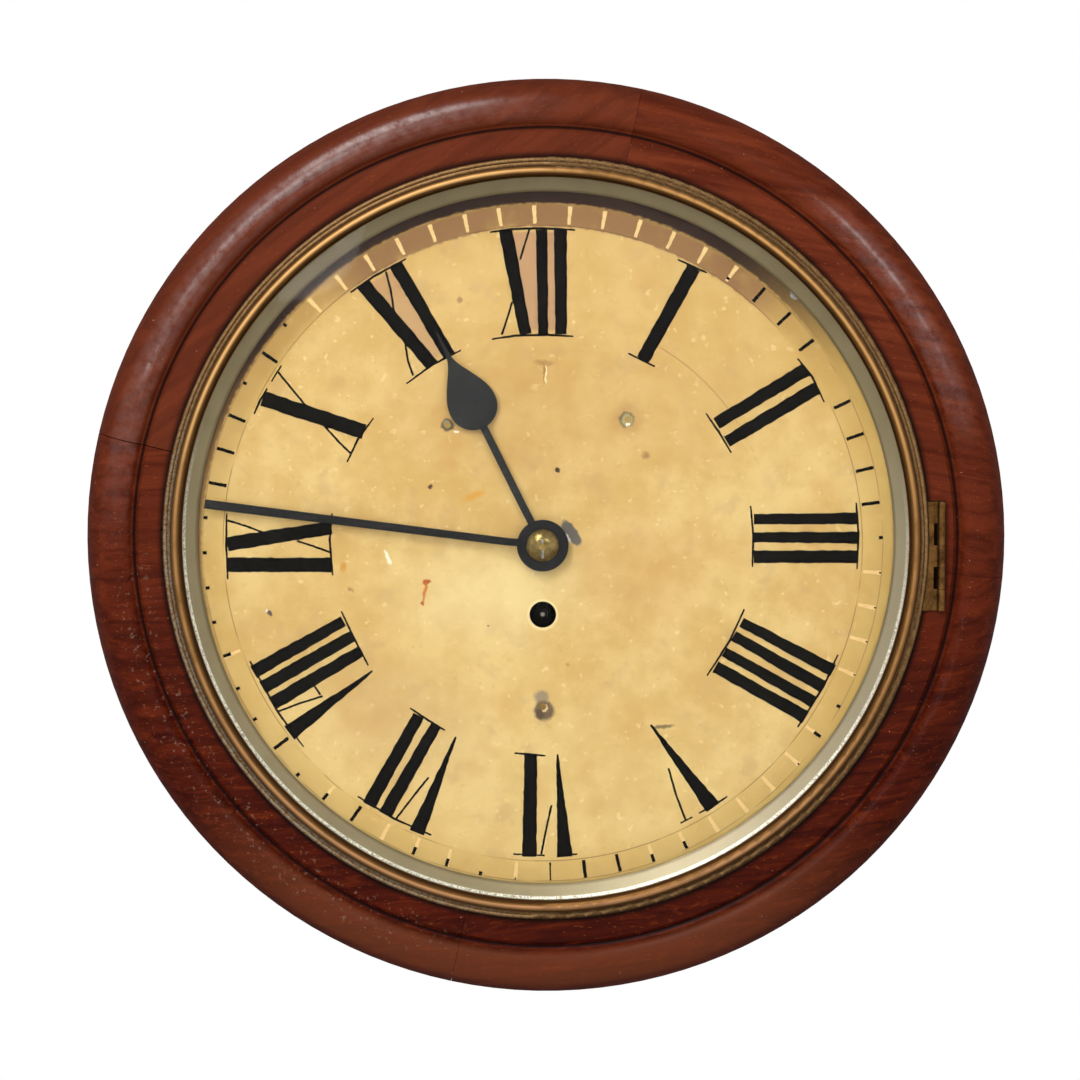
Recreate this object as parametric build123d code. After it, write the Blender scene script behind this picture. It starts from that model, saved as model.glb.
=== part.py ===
from build123d import *
import math
import os

# A round wall clock: u runs to the right, v up and w forward from the wall, in millimetres.
# Every piece is turned once, as it is saved, so that the wall is y = 0, up is +Z and the dial faces -Y.

# Wooden box behind the dial
case_half_width = 100.0
case_top = 150.0
side_foot = -120.0
pendulum_room = 5.5
panel = 9.0
back_thick = 10.0
side_depth = 86.0
fit_gap = 0.3
screw_slack = 0.05

# Battens and pegs that hold the box to the surround
batten_width = 22.0
batten_thick = 22.0
batten_half_height = 148.0
peg_v = 105.0
peg_r = 3.5
peg_taper = 0.5
peg_head = 3.0
peg_inner_end = 4.0

# Hanging plate
hang_v = 112.0
keyhole_r = 6.0
keyhole_slot = 2.6
keyhole_rise = 15.0
hang_plate_half_width = 19.0
hang_plate_below = 17.0
hang_plate_above = 31.0
hang_plate_thick = 2.0
hang_screw_inset = 4.5
hang_screw_head = 3.2
hang_screw_shank = 1.6
head_room = 2.0

# Side door
side_door_half_height = 55.0
side_door_back = 24.0
side_door_front = 70.0
door_gap = 0.4
door_bevel = 1.4
door_hinge_half = 14.0
door_hinge_v = 36.0
door_leaf = 9.0
leaf_thick = 1.0
door_barrel_r = 1.7
door_pin_r = 0.8
pin_slack = 0.05
knuckle_gap = 0.2
barrel_stand = 0.2
knob_r = 5.0
knob_stalk = 5.0
knob_pin_r = 1.5
knob_inset = 7.0

# Turn buttons
button_length = 28.0
button_half_width = 3.5
button_thick = 2.5
button_lift = 0.3
button_offset = 9.0
button_screw_r = 1.5
button_head_r = 3.0
button_head = 1.5
button_slot_half = 0.3
button_slot_deep = 0.6
screw_in_wood = 7.0

# Bottom door in the curved foot
bottom_half_angle = 24.0
bottom_door_back = 22.0
bottom_door_front = 84.0
bottom_gap_angle = 0.25
bottom_leaf_angle = 6.0
bottom_hinge_half = 13.0

# Turned surround
dial_ledge = 16.2
seat_rise = 20.0
rebate_deep = 6.0
flat_width = 17.0
groove_half = 1.5
groove_deep = 1.7
groove_lip = 0.7
roll_width = 7.0
roll_rise = 2.5
shoulder_width = 14.0
shoulder_drop = 8.0
rim_depth = 17.0
back_bevel = 3.5
open_joint = 0.4
fine_joint = 0.14
joint_angles = (78.0, 166.6, 258.0, -4.7)
open_joint_angle = 166.6

# Bezel door
glass_seat_r = 162.2
bezel_stand = 1.3
bezel_overlap = 4.3
spigot_thick = 1.7
spigot_slack = 0.6
spigot_reach = 4.8
lip_reach = 2.2
lip_lift = 1.9
lip_thick = 0.7
crown_offset = 1.0
crown_height = 5.0
cavetto_inset = 2.3
glass_slack = 0.3
glass_thick = 2.0
glass_sag = 12.0
sight_width = 6.5
sight_thick = 0.7
sight_drop = 3.9

# Bezel hinge, its knuckles shared out three and two
hinge_reach = 5.5
hinge_v = -6.6
hinge_length = 48.2
hinge_barrel_r = 1.8
hinge_pin_r = 0.8
hinge_lift = 2.2
hinge_notch = 1.6
moving_leaf_width = 9.1
fixed_leaf_width = 7.3
fixed_leaf_thick = 1.2
fixed_leaf_past = 1.0
hinge_screw_inset = 4.5
hinge_screw_head = 2.0
hinge_screw_shank = 1.1
hinge_screw_length = 9.0
hinge_screw_pitch = 17.0

# Bezel catch, opposite the hinge
tongue_inset = 2.0
tongue_thick = 1.5
tongue_half = 5.0
tongue_reach = 11.0
mortise_slack = 1.0
mortise_depth = 3.0
catch_leaf = 0.8
catch_gap = 0.3

# Dial, with the movement hung behind it, a little off the surround's centre
dial_u = -1.2
dial_v = -2.4
dial_slack = 3.3
dial_thick = 1.5
centre_hole_r = 6.0
winding_hole_r = 5.9
winding_v = -31.0
foot_places = ((-42.0, 53.0), (37.5, 55.5), (0.0, -72.0))
foot_r = 2.6
foot_tail_r = 1.5
foot_tail = 3.0
dial_screw_r = 2.6
dial_screw_shank = 1.3
dial_screw_inset = 4.2
dial_screw_length = 12.0

# Hands, set to the photographed time
hour_angle = 26.4
minute_angle = 82.9
hour_reach = 105.0
hour_bulb_v = 69.0
hour_bulb_r = 10.8
hour_stem = 1.65
hour_neck_v = 95.0
hour_neck = 0.8
hour_tip = 0.25
hour_boss_r = 11.0
hour_thick = 1.2
minute_reach = 150.0
minute_root_half = 1.6
minute_tip_half = 2.0
minute_boss_r = 11.4
minute_thick = 1.0
hand_chamfer = 0.3
hour_hand_lift = 2.1
hand_space = 1.1
collet_r = 7.1
collet_height = 3.4
collet_rim = 0.7
arbor_end = 2.0
pin_half = 0.75
pin_down = 5.2
pin_up = 3.0

# Movement plates, between them the train
plate_half_width = 64.0
plate_top = 68.0
plate_foot = -100.0
plate_thick = 3.0
plate_gap = 46.0
motion_space = 20.0
pillar_r = 4.5
pillar_u = 58.0
pillar_top_v = 62.0
pillar_foot_v = -94.0
pillar_tail_r = 2.5
pillar_tail = 4.0
pivot_slack = 0.05
taper_pin_r = 0.8
taper_pin_half = 6.0

# Going train, by teeth and module; each distance between arbors follows from them
great_teeth = 96
centre_pinion_leaves = 8
centre_teeth = 84
third_pinion_leaves = 7
third_teeth = 78
escape_pinion_leaves = 7
third_module = 0.5
third_u = 10.8
escape_teeth = 30
escape_r = 16.0
escape_root_r = 12.8
pallet_rise = 22.6
wheel_thick = 2.0
wheel_rim = 3.2
wheel_hub_r = 4.5
wheel_arm = 3.0
pivot_r = 0.6
arbor_r = 0.95
shaft_gap = 0.4
pivot_inset = 0.2
centre_arbor_r = 1.5
centre_wheel_back = 41.5
third_wheel_back = 19.0
escape_wheel_back = 7.0
great_wheel_back = 3.0
great_thick = 3.0
pinion_margin = 2.5

# Fusee
fusee_arbor_r = 3.0
fusee_big_r = 19.0
fusee_small_r = 10.5
fusee_grooves = 15
fusee_pitch = 1.95
fusee_groove_deep = 0.7
fusee_gap = 1.5
ratchet_r = 12.6
ratchet_teeth = 24
ratchet_thick = 1.0
poke_reach = 15.5
poke_half = 1.5
poke_thick = 1.5
poke_lift = 2.0
poke_root_r = 7.0
square_half = 2.0
square_reach = 19.0
click_thick = 0.9
click_boss_r = 2.2

# Barrel and mainspring
barrel_u = -34.0
barrel_drop = 42.0
barrel_r = 23.5
barrel_wall = 1.6
barrel_back = 2.5
barrel_length = 40.5
barrel_arbor_r = 2.8
barrel_hub_r = 7.0
spring_thick = 0.5
spring_pitch = 1.5
spring_half_turns = 18
spring_margin = 1.5
setup_r = 9.0
setup_teeth = 20
setup_thick = 2.0
setup_lift = 0.3
setup_boss_r = 2.6
setup_square_reach = 8.0

# Line from the barrel to the fusee
line_r = 0.7
line_turns = 5
line_pitch = 3.6
line_gap = 0.3

# Pallets, crutch and pendulum
pallet_gap = 1.3
pallet_thick = 3.2
pallet_arm = 3.4
pallet_half_angle = 45.0
cock_half_width = 22.0
cock_leg = 8.0
cock_half_height = 9.0
cock_space = 10.0
cock_thick = 3.0
cheek_half_width = 5.0
cheek_depth = 9.0
cheek_start = 2.0
cheek_height = 10.0
slit_half = 0.6
suspension_thick = 0.3
suspension_width = 4.0
suspension_above = 7.0
suspension_below = 14.0
suspension_block = 8.0
rod_r = 1.6
rod_back = 17.0
bob_drop = 200.0
bob_r = 27.0
bob_thick = 18.0
bob_edge = 2.0
nut_r = 5.0
nut_thick = 4.0
rod_tail = 3.0
crutch_drop = 56.0
crutch_half = 1.0
crutch_back = 5.2
crutch_thick = 1.6
crutch_hub_r = 3.2
crutch_gap = 0.3
fork_thick = 1.2
fork_past = 3.0

# Motion work under the dial
motion_teeth = 36
motion_module = 0.7
hour_teeth = 72
minute_pinion_leaves = 6
cannon_back = 2.0
motion_thick = 2.0
cannon_r = 2.6
pipe_wall = 1.0
hour_pipe_r = 5.6
hour_step = 0.7
bridge_half_width = 4.0
bridge_leg_v = 16.0
bridge_leg = 3.0
bridge_foot = 7.0
bridge_thick = 1.2
bridge_gap = 1.0
bridge_pipe = 11.0
hour_wheel_gap = 0.8
stud_r = 0.8

# Stop arm
stop_pivot_u = -50.0
stop_half_width = 3.0
stop_thick = 1.6
stop_gap = 0.8
stop_past = 2.5
stop_block_half = 5.0
stop_block_length = 7.0
stop_pin_r = 0.9

# Radii and places that follow from the glass seat, outwards and inwards
spigot_r = glass_seat_r + spigot_thick
rebate_r = spigot_r + spigot_slack
bezel_r = rebate_r + bezel_overlap
cavetto_r = bezel_r - cavetto_inset
crown_r = glass_seat_r + crown_offset
sight_r = glass_seat_r - lip_reach
sight_inner_r = sight_r - sight_width
dial_r = rebate_r - dial_slack
dial_screw_ring = dial_r - dial_screw_inset
hole_r = dial_r - dial_ledge
groove_r = rebate_r + flat_width
roll_crown_r = groove_r + roll_width
surround_r = roll_crown_r + shoulder_width
hinge_u = bezel_r + hinge_reach
hinge_leaf_start = hinge_u - moving_leaf_width
fixed_leaf_start = hinge_u - fixed_leaf_width
hinge_screw_u = hinge_u - hinge_screw_inset
tongue_u = -(rebate_r + tongue_inset)

# Heights above the wall that follow from the sizes above
surround_back = back_thick + side_depth
dial_seat = surround_back + seat_rise
flat_w = dial_seat + rebate_deep
dial_face = dial_seat + dial_thick
plate_face = dial_seat - motion_space
front_plate_back = plate_face - plate_thick
back_plate_face = front_plate_back - plate_gap
back_plate_back = back_plate_face - plate_thick
bezel_base = flat_w + bezel_stand
hinge_w = flat_w + hinge_lift
hour_hand_back = dial_face + hour_hand_lift
minute_hand_back = hour_hand_back + hour_thick + hand_space
collet_back = minute_hand_back + minute_thick
arbor_front = collet_back + collet_height + arbor_end

# Arbor places, seen from the centre arbor
great_module = 2 * abs(winding_v) / (great_teeth + centre_pinion_leaves)
third_escape_distance = (third_teeth + escape_pinion_leaves) * third_module / 2
escape_v = 41.4
third_v = escape_v - math.sqrt(third_escape_distance**2 - third_u**2)
centre_module = 2 * math.hypot(third_u, third_v) / (centre_teeth + third_pinion_leaves)
pallet_v = escape_v + pallet_rise
motion_distance = motion_teeth * motion_module
hour_module = 2 * motion_distance / (hour_teeth + minute_pinion_leaves)
barrel_v = winding_v - barrel_drop

# Circle that the box's foot follows, clear of the pendulum's tail
bob_foot = dial_v + pallet_v - bob_drop - bob_r - fit_gap / 3
case_foot = bob_foot - nut_thick - rod_tail - pendulum_room - panel
foot_sag = side_foot - case_foot
foot_arc_r = (case_half_width**2 + foot_sag**2) / (2 * foot_sag)
foot_arc_v = case_foot + foot_arc_r
case_middle = (bottom_door_back + bottom_door_front) / 2
far = 500.0
cut_past = 10.0


# Helpers


def disc(radius, low, high, at=(0, 0)):
    return Pos(at[0], at[1], (low + high) / 2) * Cylinder(radius, high - low)


def ring(outer, inner, low, high, at=(0, 0)):
    return disc(outer, low, high, at) - disc(inner, low - 1, high + 1, at)


def block(u, v, w):
    middle = Pos((u[0] + u[1]) / 2, (v[0] + v[1]) / 2, (w[0] + w[1]) / 2)
    return middle * Box(u[1] - u[0], v[1] - v[0], w[1] - w[0])


def bar_v(radius, low, high, u, w):
    return Pos(u, (low + high) / 2, w) * Rot(90, 0, 0) * Cylinder(radius, high - low)


def bar_u(radius, low, high, v, w):
    return Pos((low + high) / 2, v, w) * Rot(0, 90, 0) * Cylinder(radius, high - low)


def turned(points, at=(0, 0)):
    outline = Polyline(*[(r, 0, w) for r, w in points], close=True)
    return Pos(at[0], at[1], 0) * revolve(make_face(outline), Axis.Z)


def prism(points, low, high):
    face = make_face(Polyline(*[(x, y, low) for x, y in points], close=True))
    return extrude(face, high - low, dir=(0, 0, 1))


def polar(radius, degrees):
    return (radius * math.cos(math.radians(degrees)), radius * math.sin(math.radians(degrees)))


def screw(head_r, shank_r, length, slack=0.0):
    head = head_r + slack
    shank = shank_r + slack
    cone = head_r - shank_r
    return turned(((0, 0), (head, 0), (shank, cone), (shank, length), (0, length)))


def slotted(solid, head_r, slot=0.5, deep=0.5):
    return solid - block((-head_r - 1, head_r + 1), (-slot / 2, slot / 2), (-1, deep))


def toothed(teeth, module, low, high, phase, leaf=False):
    radius = teeth * module / 2
    if leaf:
        steps = ((-1.45, 0.15), (0, 0.15), (0.55, 0.07))
    else:
        steps = ((-1.35, 0.22), (0, 0.20), (0.9, 0.06))
    pitch = 360 / teeth
    points = []
    for tooth in range(teeth):
        middle = phase + tooth * pitch
        rising = [polar(radius + height * module, middle - share * pitch) for height, share in steps]
        falling = [polar(radius + height * module, middle + share * pitch) for height, share in steps]
        points += rising + falling[::-1]
    return prism(points, low, high)


def sawtooth(teeth, tip, root, low, high):
    pitch = 360 / teeth
    points = []
    for tooth in range(teeth):
        start = tooth * pitch
        points += [polar(root, start), polar(tip, start + 0.1 * pitch), polar(tip, start + 0.22 * pitch)]
    return prism(points, low, high)


def crossed_out(wheel, rim_r, arms, low, high):
    window = ring(rim_r, wheel_hub_r, low - 1, high + 1)
    for arm in range(arms):
        spoke = block((0, rim_r + 1), (-wheel_arm / 2, wheel_arm / 2), (low - 2, high + 2))
        window -= Rot(0, 0, 360 * arm / arms + 20) * spoke
    return wheel - window


def arbor(radius, low, high, front_pivot, back_pivot=pivot_r):
    shaft = disc(radius, low, high)
    shaft += disc(back_pivot, back_plate_back + pivot_inset, low)
    return shaft + disc(front_pivot, high, plate_face - pivot_inset)


def knuckles(count, length, outer, bore, odd):
    share = length / count
    rings = []
    for place in range(count):
        if (place % 2 == 0) == odd:
            low = -length / 2 + place * share
            rings.append(ring(outer, bore, low + knuckle_gap / 2, low + share - knuckle_gap / 2))
    return rings


def upright(solid):
    return Rot(90, 0, 0) * solid


def save(name, *shapes, at=(0, 0)):
    solids = []
    for shape in shapes:
        placed = Rot(90, 0, 0) * Pos(at[0], at[1], 0) * shape
        solids += placed.solids()
    whole = solids[0] if len(solids) == 1 else Compound(solids)
    export_step(whole, f"parts/{name}.step")


dial_at = (dial_u, dial_v)
os.makedirs("parts", exist_ok=True)

# Back board, with the keyhole's pocket and the hanging plate's recess


def foot_limit(low, high):
    return block((-case_half_width, case_half_width), (case_foot - 1, side_foot), (low, high))


def keyhole(round_r, slot_half, low, high):
    shape = disc(round_r, low, high, (0, hang_v))
    shape += block((-slot_half, slot_half), (hang_v, hang_v + keyhole_rise), (low, high))
    return shape + disc(slot_half, low, high, (0, hang_v + keyhole_rise))


def back_board():
    board = block((-case_half_width, case_half_width), (side_foot, case_top), (0, back_thick))
    board += disc(foot_arc_r, 0, back_thick, (0, foot_arc_v)) & foot_limit(0, back_thick)
    recess_u = hang_plate_half_width + fit_gap
    recess_v = (hang_v - hang_plate_below - fit_gap, hang_v + hang_plate_above + fit_gap)
    board -= block((-recess_u, recess_u), recess_v, (-1, hang_plate_thick))
    pocket_r = keyhole_r + head_room
    board -= keyhole(pocket_r, pocket_r, hang_plate_thick - 1, back_thick + 1)
    for place in hang_screw_places():
        board -= place * screw(hang_screw_head, hang_screw_shank, screw_in_wood, screw_slack)
    return board


def hang_screw_places():
    u = hang_plate_half_width - hang_screw_inset
    low = hang_v - hang_plate_below + hang_screw_inset
    high = hang_v + hang_plate_above - hang_screw_inset
    return [Pos(side * u, v, 0) for side in (-1, 1) for v in (low, high)]


def hanging_plate():
    v = (hang_v - hang_plate_below, hang_v + hang_plate_above)
    plate = block((-hang_plate_half_width, hang_plate_half_width), v, (0, hang_plate_thick))
    plate -= keyhole(keyhole_r, keyhole_slot, -1, hang_plate_thick + 1)
    for place in hang_screw_places():
        plate -= place * screw(hang_screw_head, hang_screw_shank, screw_in_wood, screw_slack)
    return plate


save("back_board", back_board())
save("hanging_plate", hanging_plate())

# Sides, top and curved foot of the box
inner_half = case_half_width - panel
batten_inner = case_half_width + fit_gap
batten_outer = batten_inner + batten_width
peg_w = surround_back - batten_thick / 2


def peg(side, v, slack=0.0):
    length = batten_outer + peg_head - (inner_half - peg_inner_end)
    cone = Cone(peg_r - peg_taper + slack, peg_r + slack, length)
    return Pos(side * (batten_outer + peg_head - length / 2), v, peg_w) * Rot(0, 90 * side, 0) * cone


def pegs(slack=0.0):
    return [peg(side, v, slack) for side in (-1, 1) for v in (-peg_v, peg_v)]


def side_panel(side):
    edges = sorted((side * inner_half, side * case_half_width))
    board = block(edges, (side_foot, case_top - panel), (back_thick, surround_back))
    for hole in pegs(screw_slack):
        board -= hole
    return board


def right_side():
    board = side_panel(1)
    opening_v = (-side_door_half_height, side_door_half_height)
    board -= block((inner_half - 1, case_half_width + 1), opening_v, (side_door_back, side_door_front))
    return board - button_screw_at_side(screw_slack)


def top_board():
    edges = (-case_half_width, case_half_width)
    return block(edges, (case_top - panel, case_top), (back_thick, surround_back))


def sector(outer, inner, start, end, low, high):
    whole = ring(outer, inner, low, high, (0, foot_arc_v))
    points = [(0, 0), polar(far, start - 90), polar(far, (start + end) / 2 - 90), polar(far, end - 90)]
    return whole & (Pos(0, foot_arc_v, 0) * prism(points, low, high))


def curved_foot():
    band = ring(foot_arc_r, foot_arc_r - panel, back_thick, surround_back, (0, foot_arc_v))
    band &= foot_limit(back_thick, surround_back)
    half = bottom_half_angle
    band -= sector(foot_arc_r + 1, foot_arc_r - panel - 1, -half, half, bottom_door_back, bottom_door_front)
    return band - button_screw_at_foot(screw_slack)


# Turn buttons lie clear of their doors and turn a quarter to hold them
button_angle = bottom_half_angle + math.degrees(button_offset / foot_arc_r)
side_button_v = side_door_half_height + button_offset
side_button_w = (side_door_back + side_door_front) / 2


def at_side_button():
    return Pos(case_half_width, side_button_v, side_button_w) * Rot(0, 90, 0)


def at_foot_button():
    u, v = polar(foot_arc_r, button_angle - 90)
    return Pos(u, foot_arc_v + v, case_middle) * Rot(0, 0, button_angle) * Rot(90, 0, 0)


def button():
    low = button_lift
    high = button_lift + button_thick
    straight = button_length / 2 - button_half_width
    bar = block((-straight, straight), (-button_half_width, button_half_width), (low, high))
    bar += disc(button_half_width, low, high, (-straight, 0))
    bar += disc(button_half_width, low, high, (straight, 0))
    return bar - disc(button_screw_r + pin_slack, low - 1, high + 1)


def button_screw(slack=0.0):
    shank = disc(button_screw_r + slack, -screw_in_wood, button_lift + button_thick + pin_slack)
    if slack:
        return shank
    top = button_lift + button_thick + pin_slack
    crown = top + button_head
    head = turned(((0, top), (button_head_r, top), (button_head_r * 0.7, crown), (0, crown)))
    slot_u = (-button_head_r - 1, button_head_r + 1)
    slot_w = (crown - button_slot_deep, crown + 1)
    return shank + head - block(slot_u, (-button_slot_half, button_slot_half), slot_w)


def button_screw_at_side(slack=0.0):
    return at_side_button() * button_screw(slack)


def button_screw_at_foot(slack=0.0):
    return at_foot_button() * button_screw(slack)


save("left_side", side_panel(-1))
save("right_side", right_side())
save("top_board", top_board())
save("curved_foot", curved_foot())
save("side_turn_button", at_side_button() * button())
save("bottom_turn_button", at_foot_button() * Rot(0, 0, 90) * button())
save("wood_pegs", *pegs())


def batten(side):
    edges = sorted((side * batten_inner, side * batten_outer))
    v = (-batten_half_height, batten_half_height)
    board = block(edges, v, (surround_back - batten_thick, surround_back))
    for hole in pegs(screw_slack):
        board -= hole
    return board


save("side_battens", batten(-1), batten(1))

# Side door and its hinges
side_axis_u = case_half_width + barrel_stand + door_barrel_r
side_axis_w = side_door_back


def side_door():
    back = side_door_back + door_gap
    front = side_door_front - door_gap
    half = side_door_half_height - door_gap
    points = [
        (inner_half, back),
        (case_half_width, back),
        (case_half_width, front),
        (inner_half, front - door_bevel),
    ]
    leaf = Rot(90, 0, 0) * prism(points, -half, half)
    return leaf - knob_stalk_hole()


def knob_place():
    return Pos(case_half_width, 0, side_door_front - door_gap - knob_inset) * Rot(0, 90, 0)


def knob_stalk_hole():
    return knob_place() * disc(knob_pin_r + screw_slack, -panel - 1, 1)


def side_knob():
    top = knob_stalk + knob_r * 0.8
    profile = (
        (0, -panel + 1),
        (knob_pin_r, -panel + 1),
        (knob_pin_r, 0),
        (3.0, 0),
        (2.0, 1.2),
        (1.8, knob_stalk - 2),
        (knob_r * 0.8, knob_stalk - 0.6),
        (knob_r, knob_stalk + knob_r * 0.25),
        (knob_r * 0.8, top - 0.5),
        (0, top),
    )
    return knob_place() * turned(profile)


def door_hinge(odd, leaf_edges):
    barrels = knuckles(3, 2 * door_hinge_half, door_barrel_r, door_pin_r + pin_slack, odd)
    share = 2 * door_hinge_half / 3
    plate_u = (case_half_width, case_half_width + leaf_thick)
    plates = []
    for place in (-1, 1):
        whole = block(plate_u, (-door_hinge_half, door_hinge_half), leaf_edges)
        free = block((case_half_width - 1, side_axis_u + 3), (-share / 2, share / 2), (far / -2, far))
        near = block((case_half_width - 1, side_axis_u + 3), (-far, far), reach_of_barrel())
        whole -= (near & free) if odd else (near - free)
        for barrel in barrels:
            whole += Pos(side_axis_u, 0, side_axis_w) * upright(barrel)
        whole -= Pos(side_axis_u, 0, side_axis_w) * upright(disc(door_pin_r + pin_slack, -far, far))
        plates.append(Pos(0, place * door_hinge_v, 0) * whole)
    return plates


def reach_of_barrel():
    reach = door_barrel_r + fit_gap
    return (side_axis_w - reach, side_axis_w + reach)


fixed_edges = (side_axis_w - door_leaf, side_axis_w - door_gap / 4)
moving_edges = (side_axis_w + door_gap, side_axis_w + door_leaf)
fixed_side_leaves = door_hinge(True, fixed_edges)
moving_side_leaves = door_hinge(False, moving_edges)
save("side_door", side_door())
save("side_door_knob", side_knob())
save("side_door_hinge_leaves", *moving_side_leaves)

# Bottom door, which follows the curve of the foot
foot_axis_angle = -bottom_half_angle + bottom_gap_angle / 2
foot_axis_r = foot_arc_r + barrel_stand + door_barrel_r
axis_offset_u, axis_offset_v = polar(foot_axis_r, foot_axis_angle - 90)
foot_axis = (axis_offset_u, foot_arc_v + axis_offset_v)


def bottom_door():
    half = bottom_half_angle - bottom_gap_angle
    low = bottom_door_back + door_gap
    high = bottom_door_front - door_gap
    return sector(foot_arc_r, foot_arc_r - panel, -half, half, low, high)


def foot_hinge(odd, start, end):
    low = case_middle - bottom_hinge_half
    high = case_middle + bottom_hinge_half
    share = 2 * bottom_hinge_half / 3
    plate = sector(foot_arc_r + leaf_thick, foot_arc_r, start, end, low, high)
    near = disc(door_barrel_r + fit_gap, low - 1, high + 1, foot_axis)
    middle = block((-far, far), (-far, far), (case_middle - share / 2, case_middle + share / 2))
    plate -= (near & middle) if odd else (near - middle)
    for barrel in knuckles(3, 2 * bottom_hinge_half, door_barrel_r, door_pin_r + pin_slack, odd):
        plate += Pos(foot_axis[0], foot_axis[1], case_middle) * barrel
    return plate - disc(door_pin_r + pin_slack, low - 1, high + 1, foot_axis)


fixed_foot_end = foot_axis_angle - bottom_gap_angle / 4
moving_foot_start = foot_axis_angle + bottom_gap_angle / 2
fixed_foot_leaf = foot_hinge(True, foot_axis_angle - bottom_leaf_angle, fixed_foot_end)
moving_foot_leaf = foot_hinge(False, moving_foot_start, foot_axis_angle + bottom_leaf_angle)
save("bottom_door", bottom_door())
save("bottom_door_hinge_leaf", moving_foot_leaf)
save("door_hinge_plates", *fixed_side_leaves, fixed_foot_leaf)

# Turned surround, in four segments


def level_arc(crown, end):
    # an arc that is level at the crown, from there to its end
    across = end[0] - crown[0]
    drop = crown[2] - end[2]
    radius = (across**2 + drop**2) / (2 * drop)
    half = math.asin(abs(across) / radius) / 2
    middle_r = crown[0] + math.copysign(radius * math.sin(half), across)
    return ThreePointArc(crown, (middle_r, 0, crown[2] - radius * (1 - math.cos(half))), end)


def surround_profile():
    groove_in = groove_r - groove_half
    groove_out = groove_r + groove_half
    crown = flat_w + roll_rise
    shoulder = crown - shoulder_drop
    lines = [
        Line((hole_r, 0, surround_back), (hole_r, 0, dial_seat)),
        Line((hole_r, 0, dial_seat), (rebate_r, 0, dial_seat)),
        Line((rebate_r, 0, dial_seat), (rebate_r, 0, flat_w)),
        Line((rebate_r, 0, flat_w), (groove_in - groove_lip, 0, flat_w)),
        ThreePointArc(
            (groove_in - groove_lip, 0, flat_w),
            (groove_in - groove_lip * 0.25, 0, flat_w - groove_lip * 0.25),
            (groove_in, 0, flat_w - groove_lip),
        ),
        Line((groove_in, 0, flat_w - groove_lip), (groove_r, 0, flat_w - groove_deep)),
        Line((groove_r, 0, flat_w - groove_deep), (groove_out, 0, flat_w - groove_lip)),
        level_arc((roll_crown_r, 0, crown), (groove_out, 0, flat_w - groove_lip)),
        level_arc((roll_crown_r, 0, crown), (surround_r, 0, shoulder)),
        Line((surround_r, 0, shoulder), (surround_r, 0, crown - rim_depth)),
        Line((surround_r, 0, crown - rim_depth), (surround_r - back_bevel, 0, surround_back)),
        Line((surround_r - back_bevel, 0, surround_back), (hole_r, 0, surround_back)),
    ]
    return make_face(Wire(lines))


def surround():
    wood = revolve(surround_profile(), Axis.Z)
    for angle in joint_angles:
        gap = open_joint if angle == open_joint_angle else fine_joint
        cut = block((hole_r - 5, surround_r + 5), (-gap / 2, gap / 2), (surround_back - 1, flat_w + cut_past))
        wood -= Rot(0, 0, angle) * cut
    mortise_u = (tongue_u - tongue_thick / 2 - catch_leaf - catch_gap - mortise_slack, 1 - rebate_r)
    mortise_w = (bezel_base - tongue_reach - mortise_depth, flat_w + cut_past)
    mortise_v = (-tongue_half - mortise_slack, tongue_half + mortise_slack)
    wood -= block(mortise_u, mortise_v, mortise_w)
    recess_v = (hinge_v - hinge_length / 2 - fit_gap, hinge_v + hinge_length / 2 + fit_gap)
    recess_u = (fixed_leaf_start - fit_gap, fixed_leaf_end + fit_gap)
    wood -= block(recess_u, recess_v, (fixed_leaf_back, flat_w + cut_past))
    for place in hinge_screw_places():
        wood -= place * screw(hinge_screw_head, hinge_screw_shank, hinge_screw_length, screw_slack)
    for place in dial_screw_places():
        wood -= place * screw(dial_screw_r, dial_screw_shank, dial_screw_length, screw_slack)
    return wood


# Bezel hinge
fixed_leaf_top = hinge_w - hinge_barrel_r - fit_gap - 0.1
fixed_leaf_back = fixed_leaf_top - fixed_leaf_thick
fixed_leaf_end = hinge_u + fixed_leaf_past
knuckle_share = hinge_length / 5


def hinge_screw_places():
    places = (hinge_v - hinge_screw_pitch, hinge_v, hinge_v + hinge_screw_pitch)
    return [Pos(hinge_screw_u, v, fixed_leaf_top) * Rot(180, 0, 0) for v in places]


def at_bezel_hinge():
    return Pos(hinge_u, hinge_v, hinge_w)


def other_knuckles(odd):
    gaps = []
    for place in range(5):
        if (place % 2 == 0) != odd:
            low = hinge_v - hinge_length / 2 + place * knuckle_share
            gaps.append((low - knuckle_gap / 2, low + knuckle_share + knuckle_gap / 2))
    return gaps


def bezel_leaf():
    v = (hinge_v - hinge_length / 2, hinge_v + hinge_length / 2)
    leaf = block((hinge_leaf_start, hinge_u), v, (bezel_base - leaf_thick, bezel_base))
    notch_start = hinge_u - hinge_barrel_r - hinge_notch
    for gap in other_knuckles(True):
        leaf -= block((notch_start, hinge_u + 5), gap, (hinge_w - 5, hinge_w + 5))
    for barrel in knuckles(5, hinge_length, hinge_barrel_r, hinge_pin_r + pin_slack, True):
        leaf += at_bezel_hinge() * upright(barrel)
    leaf -= at_bezel_hinge() * upright(disc(hinge_pin_r + pin_slack, -far, far))
    return leaf


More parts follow.
